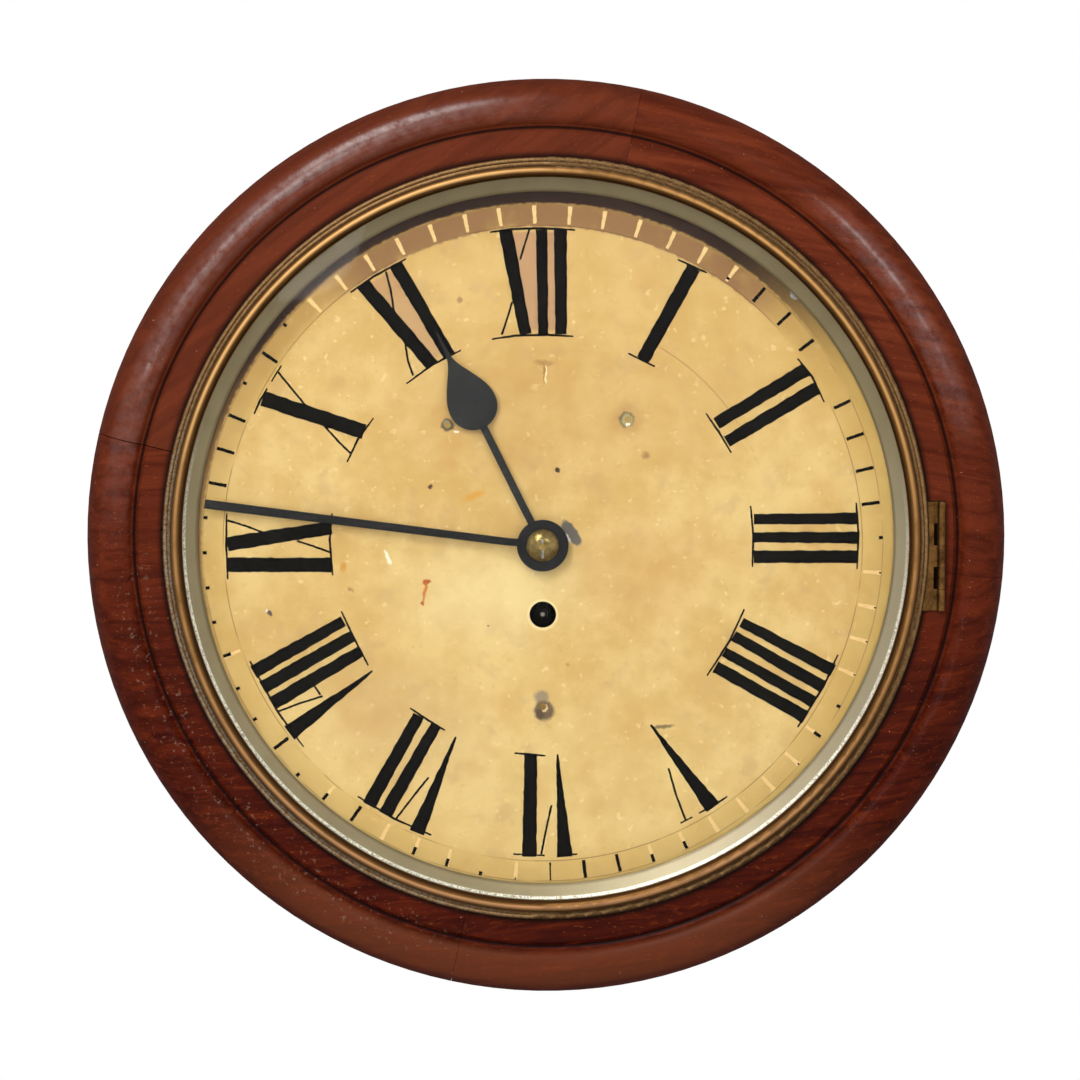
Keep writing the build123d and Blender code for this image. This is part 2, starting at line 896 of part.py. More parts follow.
def surround_leaf():
    v = (hinge_v - hinge_length / 2, hinge_v + hinge_length / 2)
    leaf = block((fixed_leaf_start, fixed_leaf_end), v, (fixed_leaf_back, fixed_leaf_top))
    for gap in other_knuckles(True):
        web_v = (gap[0] + knuckle_gap, gap[1] - knuckle_gap)
        leaf += block((hinge_u - 1, hinge_u + 1), web_v, (fixed_leaf_back, hinge_w))
    for barrel in knuckles(5, hinge_length, hinge_barrel_r, hinge_pin_r + pin_slack, False):
        leaf += at_bezel_hinge() * upright(barrel)
    leaf -= at_bezel_hinge() * upright(disc(hinge_pin_r + pin_slack, -far, far))
    for place in hinge_screw_places():
        leaf -= place * screw(hinge_screw_head, hinge_screw_shank, hinge_screw_length, screw_slack)
    return leaf


def hinge_pins():
    side = Pos(side_axis_u, 0, side_axis_w)
    side_pin = side * upright(disc(door_pin_r, -door_hinge_half, door_hinge_half))
    pins = [Pos(0, place * door_hinge_v, 0) * side_pin for place in (-1, 1)]
    low = case_middle - bottom_hinge_half
    pins.append(disc(door_pin_r, low, low + 2 * bottom_hinge_half, foot_axis))
    pins.append(at_bezel_hinge() * upright(disc(hinge_pin_r, -hinge_length / 2, hinge_length / 2)))
    return pins


def dial_screw_places():
    places = []
    for corner in range(4):
        u, v = polar(dial_screw_ring, 45 + 90 * corner)
        places.append(Pos(dial_u + u, dial_v + v, dial_face) * Rot(180, 0, 0))
    return places


save("surround", surround())
save("bezel_hinge_leaf", bezel_leaf())
save("surround_hinge_leaf", surround_leaf())
save("hinge_pins", *hinge_pins())


def screws():
    large = slotted(screw(hang_screw_head, hang_screw_shank, screw_in_wood), hang_screw_head)
    small = slotted(screw(hinge_screw_head, hinge_screw_shank, hinge_screw_length), hinge_screw_head)
    rim = slotted(screw(dial_screw_r, dial_screw_shank, dial_screw_length), dial_screw_r)
    in_plate = [place * large for place in hang_screw_places()]
    in_leaf = [place * small for place in hinge_screw_places()]
    in_dial = [place * rim for place in dial_screw_places()]
    return in_plate + in_leaf + in_dial + [button_screw_at_side(), button_screw_at_foot()]


save("screws", *screws())

# Bezel, glass and sight ring
lip_back = bezel_base + lip_lift
glass_back = lip_back - glass_slack - glass_thick
glass_r = glass_seat_r - glass_slack
glass_sphere = (glass_r**2 + glass_sag**2) / (2 * glass_sag)
sight_back = glass_back - sight_thick


def bezel():
    lip_top = lip_back + lip_thick
    crown = bezel_base + crown_height
    fall_r = sight_r + 1.2
    bead_r = (cavetto_r + bezel_r) / 2
    lines = [
        Line((spigot_r, 0, bezel_base - spigot_reach), (glass_seat_r, 0, bezel_base - spigot_reach)),
        Line((glass_seat_r, 0, bezel_base - spigot_reach), (glass_seat_r, 0, lip_back)),
        Line((glass_seat_r, 0, lip_back), (sight_r, 0, lip_back)),
        Line((sight_r, 0, lip_back), (sight_r, 0, lip_top)),
        Line((sight_r, 0, lip_top), (fall_r, 0, crown - 1.4)),
        ThreePointArc((fall_r, 0, crown - 1.4), (crown_r, 0, crown), (crown_r + 1.8, 0, crown - 1.5)),
        ThreePointArc(
            (crown_r + 1.8, 0, crown - 1.5),
            (crown_r + 2.2, 0, bezel_base + 2.1),
            (cavetto_r, 0, bezel_base + 1.4),
        ),
        ThreePointArc(
            (cavetto_r, 0, bezel_base + 1.4),
            (bead_r, 0, bezel_base + 1.9),
            (bezel_r, 0, bezel_base + 0.8),
        ),
        Line((bezel_r, 0, bezel_base + 0.8), (bezel_r, 0, bezel_base)),
        Line((bezel_r, 0, bezel_base), (spigot_r, 0, bezel_base)),
        Line((spigot_r, 0, bezel_base), (spigot_r, 0, bezel_base - spigot_reach)),
    ]
    return revolve(make_face(Wire(lines)), Axis.Z)


def glass():
    mid_r = glass_r / 2
    mid_sag = glass_sag - (glass_sphere - math.sqrt(glass_sphere**2 - mid_r**2))
    back_crown = (0, 0, glass_back + glass_sag)
    lines = [
        Line(back_crown, (0, 0, glass_back + glass_sag + glass_thick)),
        ThreePointArc(
            (0, 0, glass_back + glass_sag + glass_thick),
            (mid_r, 0, glass_back + mid_sag + glass_thick),
            (glass_r, 0, glass_back + glass_thick),
        ),
        Line((glass_r, 0, glass_back + glass_thick), (glass_r, 0, glass_back)),
        ThreePointArc((glass_r, 0, glass_back), (mid_r, 0, glass_back + mid_sag), back_crown),
    ]
    return revolve(make_face(Wire(lines)), Axis.Z)


def sight_ring():
    low = sight_back + sight_thick - sight_drop
    return turned(
        (
            (glass_r, glass_back),
            (sight_r, glass_back),
            (sight_inner_r, low),
            (sight_inner_r, low - sight_thick),
            (sight_r + 0.3, sight_back),
            (glass_r, sight_back),
        )
    )


def catch_tongue():
    u = (tongue_u - tongue_thick / 2, tongue_u + tongue_thick / 2)
    return block(u, (-tongue_half, tongue_half), (bezel_base - tongue_reach, bezel_base))


def catch_spring():
    wall = tongue_u - tongue_thick / 2 - catch_leaf - catch_gap - mortise_slack
    low = bezel_base - tongue_reach - mortise_depth
    high = flat_w - 1
    middle = (low + high) / 2
    bulge = tongue_u - tongue_thick / 2 - catch_gap
    half = tongue_half - 1
    inner = wall + catch_leaf
    points = ((wall, low), (inner, low), (bulge, middle), (inner, high), (wall, high))
    return Rot(90, 0, 0) * prism(points, -half, half)


save("bezel", bezel())
save("glass", glass())
save("sight_ring", sight_ring())
save("bezel_catch", catch_tongue())
save("catch_spring", catch_spring())

# Dial with its feet and screws


def dial():
    sheet = disc(dial_r, dial_seat, dial_face)
    sheet -= disc(centre_hole_r, dial_seat - 1, dial_face + 1)
    sheet -= disc(winding_hole_r, dial_seat - 1, dial_face + 1, (0, winding_v))
    for place in foot_places:
        sheet -= disc(foot_tail_r, dial_seat - 1, dial_face + 1, place)
    rim_hole = screw(dial_screw_r, dial_screw_shank, dial_screw_length, screw_slack)
    for place in dial_screw_places():
        sheet -= Pos(-dial_u, -dial_v, 0) * place * rim_hole
    return sheet


def dial_foot(place):
    foot = disc(foot_r, plate_face, dial_seat, place)
    foot += disc(foot_tail_r, front_plate_back - foot_tail, plate_face, place)
    return foot + disc(foot_tail_r, dial_seat, dial_face, place) - foot_pin(place, screw_slack)


def foot_pin(place, slack=0.0):
    w = front_plate_back - foot_tail / 2
    radius = foot_tail_r / 2 + slack
    return bar_u(radius, place[0] - taper_pin_half, place[0] + taper_pin_half, place[1], w)


save("dial", dial(), at=dial_at)
save("dial_feet", *[dial_foot(place) for place in foot_places], at=dial_at)

# Hands, collet and pin
hour_seat_r = hour_pipe_r - hour_step
minute_seat_r = cannon_r - 0.3


def hour_hand():
    start = math.sqrt(hour_bulb_r**2 - hour_stem**2)
    foot = (hour_stem, hour_bulb_v - start)
    side = (hour_bulb_r, hour_bulb_v)
    low_side = (hour_bulb_r * 0.7071, hour_bulb_v - hour_bulb_r * 0.7071)
    neck = (hour_neck, hour_neck_v)
    reach = hour_neck_v - hour_bulb_v
    belly = (hour_bulb_r * 0.8, hour_bulb_v + reach * 0.33)
    waist = (hour_bulb_r * 0.27, hour_bulb_v + reach * 0.72)

    def edge(sign):
        def at(point):
            return (sign * point[0], point[1])

        return [
            Line(at((hour_stem, 0)), at(foot)),
            ThreePointArc(at(foot), at(low_side), at(side)),
            Spline(at(side), at(belly), at(waist), at(neck), tangents=((0, 1), (-sign * 0.08, 1))),
            Line(at(neck), at((hour_tip, hour_reach))),
        ]

    ends = [Line((-hour_stem, 0), (hour_stem, 0)), Line((-hour_tip, hour_reach), (hour_tip, hour_reach))]
    outline = make_face(Wire(edge(1) + edge(-1) + ends))
    blade = Pos(0, 0, hour_hand_back) * extrude(outline, hour_thick)
    blade += disc(hour_boss_r, hour_hand_back, hour_hand_back + hour_thick)
    blade -= disc(hour_seat_r, hour_hand_back - 1, hour_hand_back + hour_thick + 1)
    return Rot(0, 0, hour_angle) * blade


def minute_hand():
    points = (
        (-minute_root_half, 0),
        (-minute_tip_half, minute_reach),
        (minute_tip_half, minute_reach),
        (minute_root_half, 0),
    )
    high = minute_hand_back + minute_thick
    blade = prism(points, minute_hand_back, high)
    top_edges = blade.edges().group_by(Axis.Z)[-1]
    blade = chamfer(top_edges, hand_chamfer)
    blade += disc(minute_boss_r, minute_hand_back, high)
    blade -= disc(minute_seat_r, minute_hand_back - 1, high + 1)
    return Rot(0, 0, minute_angle) * blade


def hand_collet():
    top = collet_back + collet_height
    bore = centre_arbor_r + pivot_slack
    lines = [
        Line((bore, 0, collet_back), (collet_r, 0, collet_back)),
        Line((collet_r, 0, collet_back), (collet_r, 0, collet_back + collet_rim)),
        ThreePointArc(
            (collet_r, 0, collet_back + collet_rim),
            (collet_r * 0.72, 0, collet_back + collet_height * 0.72),
            (bore + 0.8, 0, top),
        ),
        Line((bore + 0.8, 0, top), (bore, 0, top)),
        Line((bore, 0, top), (bore, 0, collet_back)),
    ]
    return revolve(make_face(Wire(lines)), Axis.Z)


hand_pin_w = collet_back + collet_height + pin_half + pivot_slack


def hand_pin(slack=0.0):
    cone = Cone(pin_half * 0.75 + slack, pin_half + slack, pin_down + pin_up)
    return Pos(0, (pin_up - pin_down) / 2, hand_pin_w) * Rot(-90, 0, 0) * cone


save("hour_hand", hour_hand(), at=dial_at)
save("minute_hand", minute_hand(), at=dial_at)
save("hand_collet", hand_collet(), at=dial_at)
save("hand_pin", hand_pin(), at=dial_at)

# Movement plates and pillars
fusee_at = (0, winding_v)
barrel_at = (barrel_u, barrel_v)
third_at = (third_u, third_v)
escape_at = (0, escape_v)
pallet_at = (0, pallet_v)
minute_at = (motion_distance, 0)
pillar_places = [(side * pillar_u, v) for side in (-1, 1) for v in (pillar_top_v, pillar_foot_v)]


def movement_plate(low, high, holes):
    plate = block((-plate_half_width, plate_half_width), (plate_foot, plate_top), (low, high))
    for place, radius in holes:
        plate -= disc(radius, low - 1, high + 1, place)
    return plate


def pillar(place):
    post = disc(pillar_r, back_plate_face, front_plate_back, place)
    post -= ring(pillar_r + 1, pillar_r - 1.2, back_plate_face + 8, front_plate_back - 8, place)
    post += disc(pillar_tail_r, front_plate_back, plate_face + pillar_tail, place)
    post += disc(pillar_tail_r, back_plate_back, back_plate_face, place)
    return post - pillar_pin(place, screw_slack)


def pillar_pin(place, slack=0.0):
    w = plate_face + taper_pin_r + slack
    return bar_u(taper_pin_r + slack, place[0] - taper_pin_half, place[0] + taper_pin_half, place[1], w)


front_holes = [
    ((0, 0), centre_arbor_r + pivot_slack),
    (third_at, pivot_r + pivot_slack),
    (escape_at, pivot_r + pivot_slack),
    (pallet_at, pivot_r + pivot_slack),
    (fusee_at, barrel_arbor_r + pivot_slack),
    (barrel_at, barrel_arbor_r),
    (minute_at, stud_r),
]
front_holes += [(place, foot_tail_r) for place in foot_places]
front_holes += [(place, pillar_tail_r) for place in pillar_places]
back_holes = [
    ((0, 0), pivot_r + pivot_slack),
    (third_at, pivot_r + pivot_slack),
    (escape_at, pivot_r + pivot_slack),
    (pallet_at, arbor_r + 2),
    (fusee_at, arbor_r + pivot_slack),
    (barrel_at, barrel_arbor_r),
]
back_holes += [(place, pillar_tail_r) for place in pillar_places]
save("front_plate", movement_plate(front_plate_back, plate_face, front_holes), at=dial_at)
save("back_plate", movement_plate(back_plate_back, back_plate_face, back_holes), at=dial_at)
save("pillars", *[pillar(place) for place in pillar_places], at=dial_at)
pins = [pillar_pin(place) for place in pillar_places] + [foot_pin(place) for place in foot_places]
save("taper_pins", *pins, at=dial_at)

# Going train. Each wheel has a tooth, and each pinion a gap, on the line of its two arbors
great_low = back_plate_face + great_wheel_back
great_high = great_low + great_thick
centre_low = back_plate_face + centre_wheel_back
centre_high = centre_low + wheel_thick
third_low = back_plate_face + third_wheel_back
third_high = third_low + wheel_thick
escape_low = back_plate_face + escape_wheel_back
escape_high = escape_low + wheel_thick * 0.8
shaft_low = back_plate_face + shaft_gap
shaft_high = front_plate_back - shaft_gap
to_third = math.degrees(math.atan2(third_v, third_u))
third_to_escape = math.degrees(math.atan2(escape_v - third_v, -third_u))


def great_wheel():
    wheel = toothed(great_teeth, great_module, great_low, great_high, 90)
    wheel -= disc(fusee_arbor_r + pivot_slack, great_low - 1, great_high + 1)
    return wheel


def centre_wheel():
    phase = 270 + 180 / centre_pinion_leaves
    pinion = toothed(centre_pinion_leaves, great_module, great_low - 1.5, great_high + 2, phase, leaf=True)
    wheel = toothed(centre_teeth, centre_module, centre_low, centre_high, to_third)
    rim = centre_teeth * centre_module / 2 - wheel_rim
    wheel = crossed_out(wheel, rim, 5, centre_low, centre_high)
    shaft = disc(centre_arbor_r, shaft_low, arbor_front)
    shaft += disc(pivot_r, back_plate_back + pivot_inset, shaft_low)
    return shaft + pinion + wheel - hand_pin(screw_slack)


def third_wheel():
    phase = to_third + 180 + 180 / third_pinion_leaves
    low = centre_low - pinion_margin + 0.5
    high = centre_high + pinion_margin - 0.5
    pinion = toothed(third_pinion_leaves, centre_module, low, high, phase, leaf=True)
    wheel = toothed(third_teeth, third_module, third_low, third_high, third_to_escape)
    wheel = crossed_out(wheel, third_teeth * third_module / 2 - wheel_rim, 5, third_low, third_high)
    return arbor(arbor_r, shaft_low, shaft_high, pivot_r) + pinion + wheel


def escape_wheel():
    phase = third_to_escape + 180 + 180 / escape_pinion_leaves
    low = third_low - pinion_margin
    high = third_high + pinion_margin
    pinion = toothed(escape_pinion_leaves, third_module, low, high, phase, leaf=True)
    wheel = sawtooth(escape_teeth, escape_r, escape_root_r, escape_low, escape_high)
    wheel = crossed_out(wheel, escape_root_r - 2, 4, escape_low, escape_high)
    return arbor(arbor_r, shaft_low, shaft_high, pivot_r) + pinion + wheel


save("great_wheel", Pos(0, winding_v, 0) * great_wheel(), at=dial_at)
save("centre_wheel", centre_wheel(), at=dial_at)
save("third_wheel", Pos(third_u, third_v, 0) * third_wheel(), at=dial_at)
save("escape_wheel", Pos(0, escape_v, 0) * escape_wheel(), at=dial_at)

# Fusee with its ratchet, stop poke and winding square
fusee_low = great_high + fusee_gap
fusee_high = fusee_low + (fusee_grooves + 0.4) * fusee_pitch
poke_low = fusee_high + poke_lift


def square_end(reach):
    return block((-square_half, square_half), (-square_half, square_half), (plate_face, plate_face + reach))


def fusee_radius(w):
    share = (w - fusee_low) / (fusee_high - fusee_low)
    return fusee_big_r / (1 + share * (fusee_big_r / fusee_small_r - 1))


def fusee():
    points = [(0, fusee_low), (fusee_big_r, fusee_low)]
    edge = (fusee_high - fusee_low - fusee_grooves * fusee_pitch) / 2
    for groove in range(fusee_grooves):
        low = fusee_low + edge + groove * fusee_pitch
        middle = low + fusee_pitch / 2
        points += [(fusee_radius(low), low + 0.2), (fusee_radius(middle) - fusee_groove_deep, middle)]
        points += [(fusee_radius(low + fusee_pitch), low + fusee_pitch - 0.2)]
    points += [(fusee_small_r, fusee_high), (0, fusee_high)]
    cone = turned(points)
    ratchet_low = great_high + 0.2
    cone += sawtooth(ratchet_teeth, ratchet_r, ratchet_r - 1.6, ratchet_low, ratchet_low + ratchet_thick)
    cone += disc(ratchet_r - 3, ratchet_low, fusee_low)
    cone += disc(fusee_arbor_r, shaft_low, shaft_high)
    cone += disc(arbor_r, back_plate_back + pivot_inset, shaft_low)
    cone += disc(barrel_arbor_r, shaft_high, plate_face)
    cone += square_end(square_reach)
    cone += disc(poke_root_r, fusee_high, poke_low + poke_thick)
    return cone + block((0, poke_reach), (-poke_half, poke_half), (poke_low, poke_low + poke_thick))


def fusee_click(turn):
    low = great_high
    tip = polar(ratchet_r + fit_gap, 0)
    points = (tip, polar(ratchet_r + 3.2, -6), polar(ratchet_r + 6.5, 26), polar(ratchet_r + 2.8, 30))
    click = prism(points, low, low + click_thick)
    return Rot(0, 0, turn) * (click + disc(click_boss_r, low, low + click_thick, polar(ratchet_r + 4.4, 28)))


save("fusee", Pos(0, winding_v, 0) * fusee(), at=dial_at)
clicks = [Pos(0, winding_v, 0) * fusee_click(turn) for turn in (60, 240)]
save("fusee_clicks", *clicks, at=dial_at)

# Barrel, its arbor, the set-up work and the mainspring
barrel_low = back_plate_face + barrel_back
barrel_high = barrel_low + barrel_length


def barrel():
    drum = disc(barrel_r, barrel_low, barrel_high)
    drum -= disc(barrel_r - barrel_wall, barrel_low + barrel_wall, barrel_high + 1)
    drum -= disc(barrel_arbor_r + pivot_slack, barrel_low - 1, barrel_high + 1)
    cap = ring(barrel_r - barrel_wall, barrel_arbor_r + pivot_slack, barrel_high - barrel_wall, barrel_high)
    return drum, cap


def barrel_arbor():
    shaft = disc(barrel_arbor_r, back_plate_back, plate_face)
    shaft += disc(barrel_hub_r, barrel_low + barrel_wall + 0.5, barrel_high - barrel_wall - 0.5)
    return shaft + square_end(setup_square_reach)


def mainspring():
    radius = barrel_hub_r + line_gap + spring_thick
    centre = 0.0
    sign = 1
    arcs = []
    for half_turn in range(spring_half_turns):
        start = 0 if sign > 0 else 180
        arcs.append(CenterArc((centre, 0, 0), radius, start, 180))
        radius += spring_pitch / 2
        centre += sign * spring_pitch / 2
        sign = -sign
    strip = trace(Wire(arcs), spring_thick)
    low = barrel_low + barrel_wall + spring_margin
    high = barrel_high - barrel_wall - spring_margin
    return Pos(0, 0, low) * extrude(strip, high - low)


def setup_ratchet():
    low = plate_face + setup_lift
    wheel = sawtooth(setup_teeth, setup_r, setup_r - 1.8, low, low + setup_thick)
    half = square_half + screw_slack
    wheel -= block((-half, half), (-half, half), (low - 1, low + setup_thick + 1))
    tip = polar(setup_r + 0.2, 20)
    points = (tip, polar(setup_r + 3, 12), polar(setup_r + 7, 44), polar(setup_r + 3.4, 50))
    click = prism(points, plate_face, plate_face + setup_thick)
    click += disc(setup_boss_r, plate_face, plate_face + setup_thick + 1.5, polar(setup_r + 5.2, 47))
    return wheel, click


def at_barrel(shape):
    return Pos(barrel_u, barrel_v, 0) * shape


save("barrel", *[at_barrel(shape) for shape in barrel()], at=dial_at)
save("barrel_arbor", at_barrel(barrel_arbor()), at=dial_at)
save("mainspring", at_barrel(mainspring()), at=dial_at)
save("setup_ratchet", *[at_barrel(shape) for shape in setup_ratchet()], at=dial_at)

# Line: turns on the barrel, a straight run and a turn on the fusee's big end


def fusee_line():
    wound_r = barrel_r + line_gap + line_r
    fusee_r = fusee_big_r + line_gap + line_r
    start_w = fusee_low + 1.5
    apart = math.hypot(barrel_u, barrel_v - winding_v)
    toward = math.degrees(math.atan2(winding_v - barrel_v, -barrel_u))
    lean = math.degrees(math.asin((wound_r - fusee_r) / apart))
    leave = toward + 90 - lean
    coil_height = line_turns * line_pitch
    coil = Helix(pitch=line_pitch, height=coil_height, radius=wound_r)
    coil = Pos(barrel_u, barrel_v, start_w) * Rot(0, 0, leave) * coil
    section = Plane(coil @ 0, z_dir=coil % 0) * Circle(line_r)
    turns = sweep(section, path=coil, is_frenet=True)
    off = polar(wound_r, leave)
    on = polar(fusee_r, leave)
    first = Vector(barrel_u + off[0], barrel_v + off[1], start_w)
    last = Vector(on[0], winding_v + on[1], start_w)
    run = extrude(Plane(first, z_dir=last - first) * Circle(line_r), (last - first).length)
    bend = CenterArc((0, winding_v, start_w), fusee_r, leave, -200)
    last_turn = sweep(Plane(bend @ 0, z_dir=bend % 0) * Circle(line_r), path=bend)
    return turns, run, last_turn


save("fusee_line", *fusee_line(), at=dial_at)

# Pallets, back cock, crutch and pendulum
cock_low = back_plate_back - cock_space - cock_thick
cock_high = back_plate_back - cock_space
rod_w = back_plate_back - rod_back


def pallets():
    middle = (escape_low + escape_high) / 2
    low = middle - pallet_thick / 2
    high = middle + pallet_thick / 2
    tip_r = escape_r + pallet_gap
    body = disc(wheel_hub_r, low, high)
    for side in (-1, 1):
        lift = -pallet_rise
        near = polar(tip_r, 90 - side * pallet_half_angle)
        far_side = polar(tip_r + 1.2, 90 - side * (pallet_half_angle + pallet_arm * 2.4))
        elbow = polar(tip_r + 4.6, 90 - side * (pallet_half_angle + 4))
        inner = polar(tip_r + 2.2, 90 - side * (pallet_half_angle - 12))
        points = [
            (0, pallet_arm),
            (elbow[0], elbow[1] + lift + 1),
            (far_side[0], far_side[1] + lift),
            (near[0], near[1] + lift),
            (inner[0], inner[1] + lift),
            (0, -pallet_arm * 0.6),
        ]
        body += prism(points, low, high)
    body += disc(arbor_r, cock_high + shaft_gap, shaft_high)
    body += disc(pivot_r, cock_low + pivot_inset, cock_high + shaft_gap)
    return body + disc(pivot_r, shaft_high, plate_face - pivot_inset)


def back_cock():
    v = (-cock_half_height, cock_half_height)
    bridge = block((-cock_half_width, cock_half_width), v, (cock_low, cock_high))
    for side in (-1, 1):
        edges = sorted((side * (cock_half_width - cock_leg), side * cock_half_width))
        bridge += block(edges, v, (cock_high, back_plate_back))
    bridge -= disc(pivot_r + pivot_slack, cock_low - 1, cock_high + 1)
    cheek_v = (cheek_start, cheek_start + cheek_height)
    cheeks = block((-cheek_half_width, cheek_half_width), cheek_v, (cock_low - cheek_depth, cock_low))
    slit_v = (cheek_start - 1, suspension_above + fit_gap)
    cheeks -= block((-slit_half, slit_half), slit_v, (cock_low - cheek_depth - 1, cock_low))
    return bridge + cheeks


def crutch():
    high = back_plate_back - crutch_back
    low = high - crutch_thick
    arm = ring(crutch_hub_r, arbor_r, low - 0.8, high + 0.8)
    arm += block((-crutch_half, crutch_half), (-crutch_drop, -3), (low, high))
    inner = rod_r + crutch_gap
    outer = inner + fork_thick
    foot = (-crutch_drop - 3, -crutch_drop)
    arm += block((-outer, outer), foot, (low, high))
    for side in (-1, 1):
        arm += block(sorted((side * inner, side * outer)), foot, (rod_w - fork_past, low + 0.5))
    return arm


def suspension_spring():
    half = suspension_width / 2
    v = (-suspension_below, suspension_above)
    return block((-suspension_thick / 2, suspension_thick / 2), v, (rod_w - half, rod_w + half))


bob_v = -bob_drop
nut_high = bob_v - bob_r - fit_gap / 3


def pendulum_rod():
    top = -suspension_below + suspension_block / 2
    block_v = (top - suspension_block, top)
    half = suspension_width / 2 + 1
    head = block((-2.5, 2.5), block_v, (rod_w - half, rod_w + half))
    slit = suspension_thick / 2
    head -= block((-slit, slit), (-suspension_below, top + 1), (rod_w - half - 1, rod_w + half + 1))
    return head + bar_v(rod_r, nut_high - nut_thick - rod_tail, block_v[0] + 1, 0, rod_w)


def pendulum_bob():
    half = bob_thick / 2
    edge = bob_edge / 2
    lines = [
        Line((0, 0, -half), (0, 0, half)),
        ThreePointArc((0, 0, half), (bob_r * 0.6, 0, edge + (half - edge) * 0.68), (bob_r, 0, edge)),
        Line((bob_r, 0, edge), (bob_r, 0, -edge)),
        ThreePointArc((bob_r, 0, -edge), (bob_r * 0.6, 0, -edge - (half - edge) * 0.68), (0, 0, -half)),
    ]
    lens = Pos(0, bob_v, rod_w) * revolve(make_face(Wire(lines)), Axis.Z)
    return lens - bar_v(rod_r, bob_v - bob_r - 1, bob_v + bob_r + 1, 0, rod_w)


def rating_nut():
    return bar_v(nut_r, nut_high - nut_thick, nut_high, 0, rod_w) - bar_v(rod_r, -far, far, 0, rod_w)


def hung(shape):
    return Pos(0, pallet_v, 0) * shape


save("pallets", hung(pallets()), at=dial_at)
save("back_cock", hung(back_cock()), at=dial_at)
save("crutch", hung(crutch()), at=dial_at)
save("suspension_spring", hung(suspension_spring()), at=dial_at)
save("pendulum_rod", hung(pendulum_rod()), at=dial_at)
save("pendulum_bob", hung(pendulum_bob()), at=dial_at)
save("rating_nut", hung(rating_nut()), at=dial_at)

# Motion work, which turns the hour hand once for twelve turns of the minute hand
cannon_low = plate_face + cannon_back
cannon_high = cannon_low + motion_thick
bridge_low = cannon_high + bridge_gap
bridge_high = bridge_low + bridge_thick
hour_low = bridge_high + hour_wheel_gap
hour_high = hour_low + motion_thick
bridge_pipe_r = cannon_r + 0.4 + pipe_wall
bridge_bore = cannon_r + 0.4


def cannon_wheel():
    bore = centre_arbor_r + pivot_slack
    wheel = toothed(motion_teeth, motion_module, cannon_low, cannon_high, 0)
    wheel += disc(cannon_r, cannon_high, minute_hand_back)
    wheel += disc(minute_seat_r, minute_hand_back, minute_hand_back + minute_thick)
    return wheel - disc(bore, cannon_low - 1, far)


def minute_wheel():
    phase = 180 + 180 / motion_teeth
    wheel = toothed(motion_teeth, motion_module, cannon_low, cannon_high, phase)
    phase = 180 + 180 / minute_pinion_leaves
    pinion = toothed(minute_pinion_leaves, hour_module, cannon_high, hour_high + 2, phase, leaf=True)
    return wheel + pinion - disc(stud_r + pivot_slack, cannon_low - 1, far)


def hour_wheel():
    wheel = toothed(hour_teeth, hour_module, hour_low, hour_high, 0)
    wheel = crossed_out(wheel, hour_teeth * hour_module / 2 - wheel_rim - 1, 4, hour_low, hour_high)
    wheel += disc(hour_pipe_r, hour_low, hour_hand_back)
    wheel += disc(hour_seat_r, hour_hand_back, hour_hand_back + hour_thick)
    return wheel - disc(bridge_pipe_r + pivot_slack, hour_low - 1, far)


def motion_bridge():
    half = bridge_half_width
    leg_top = bridge_leg_v + bridge_leg
    strip = block((-half, half), (-leg_top, leg_top), (bridge_low, bridge_high))
    for side in (-1, 1):
        leg = sorted((side * bridge_leg_v, side * leg_top))
        foot = sorted((side * bridge_leg_v, side * (leg_top + bridge_foot)))
        strip += block((-half, half), leg, (plate_face, bridge_low))
        strip += block((-half, half), foot, (plate_face, plate_face + bridge_thick))
        head = (0, side * (leg_top + bridge_foot / 2))
        strip += disc(2.0, plate_face, plate_face + bridge_thick + 1.4, head)
    strip += disc(bridge_pipe_r, bridge_low, bridge_low + bridge_pipe)
    strip -= disc(bridge_bore, bridge_low - 1, far)
    return strip


def minute_stud():
    head_low = hour_high + 2.2
    return disc(stud_r, front_plate_back, head_low + 0.6) + disc(1.6, head_low, head_low + 0.8)


save("cannon_wheel", cannon_wheel(), at=dial_at)
save("minute_wheel", Pos(motion_distance, 0, 0) * minute_wheel(), at=dial_at)
save("hour_wheel", hour_wheel(), at=dial_at)
save("motion_bridge", motion_bridge(), Pos(motion_distance, 0, 0) * minute_stud(), at=dial_at)

# Stop arm, lifted by the last turn of the line into the path of the poke
stop_high = poke_low - stop_gap
stop_low = stop_high - stop_thick
stop_mid = (stop_low + stop_high) / 2
stop_end_u = -poke_reach + stop_past


def stop_arm():
    half = stop_half_width
    v = (winding_v - half, winding_v + half)
    arm = block((stop_pivot_u, stop_end_u), v, (stop_low, stop_high))
    arm += bar_v(stop_thick / 2 + 0.8, winding_v - half, winding_v + half, stop_pivot_u, stop_mid)
    bore = stop_pin_r + pin_slack
    return arm - bar_v(bore, winding_v - half - 1, winding_v + half + 1, stop_pivot_u, stop_mid)


def stop_block():
    half = stop_block_half
    u = (stop_pivot_u - stop_block_length / 2, stop_pivot_u + stop_block_length / 2)
    body = block(u, (winding_v - half, winding_v + half), (stop_low - 1, front_plate_back))
    room = stop_half_width + fit_gap
    clear_w = stop_mid + stop_thick / 2 + 0.8 + fit_gap
    body -= block((u[0] - 1, u[1] + 1), (winding_v - room, winding_v + room), (stop_low - 2, clear_w))
    return body + bar_v(stop_pin_r, winding_v - half, winding_v + half, stop_pivot_u, stop_mid)


save("stop_arm", stop_arm(), at=dial_at)
save("stop_block", stop_block(), at=dial_at)
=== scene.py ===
import math
import random

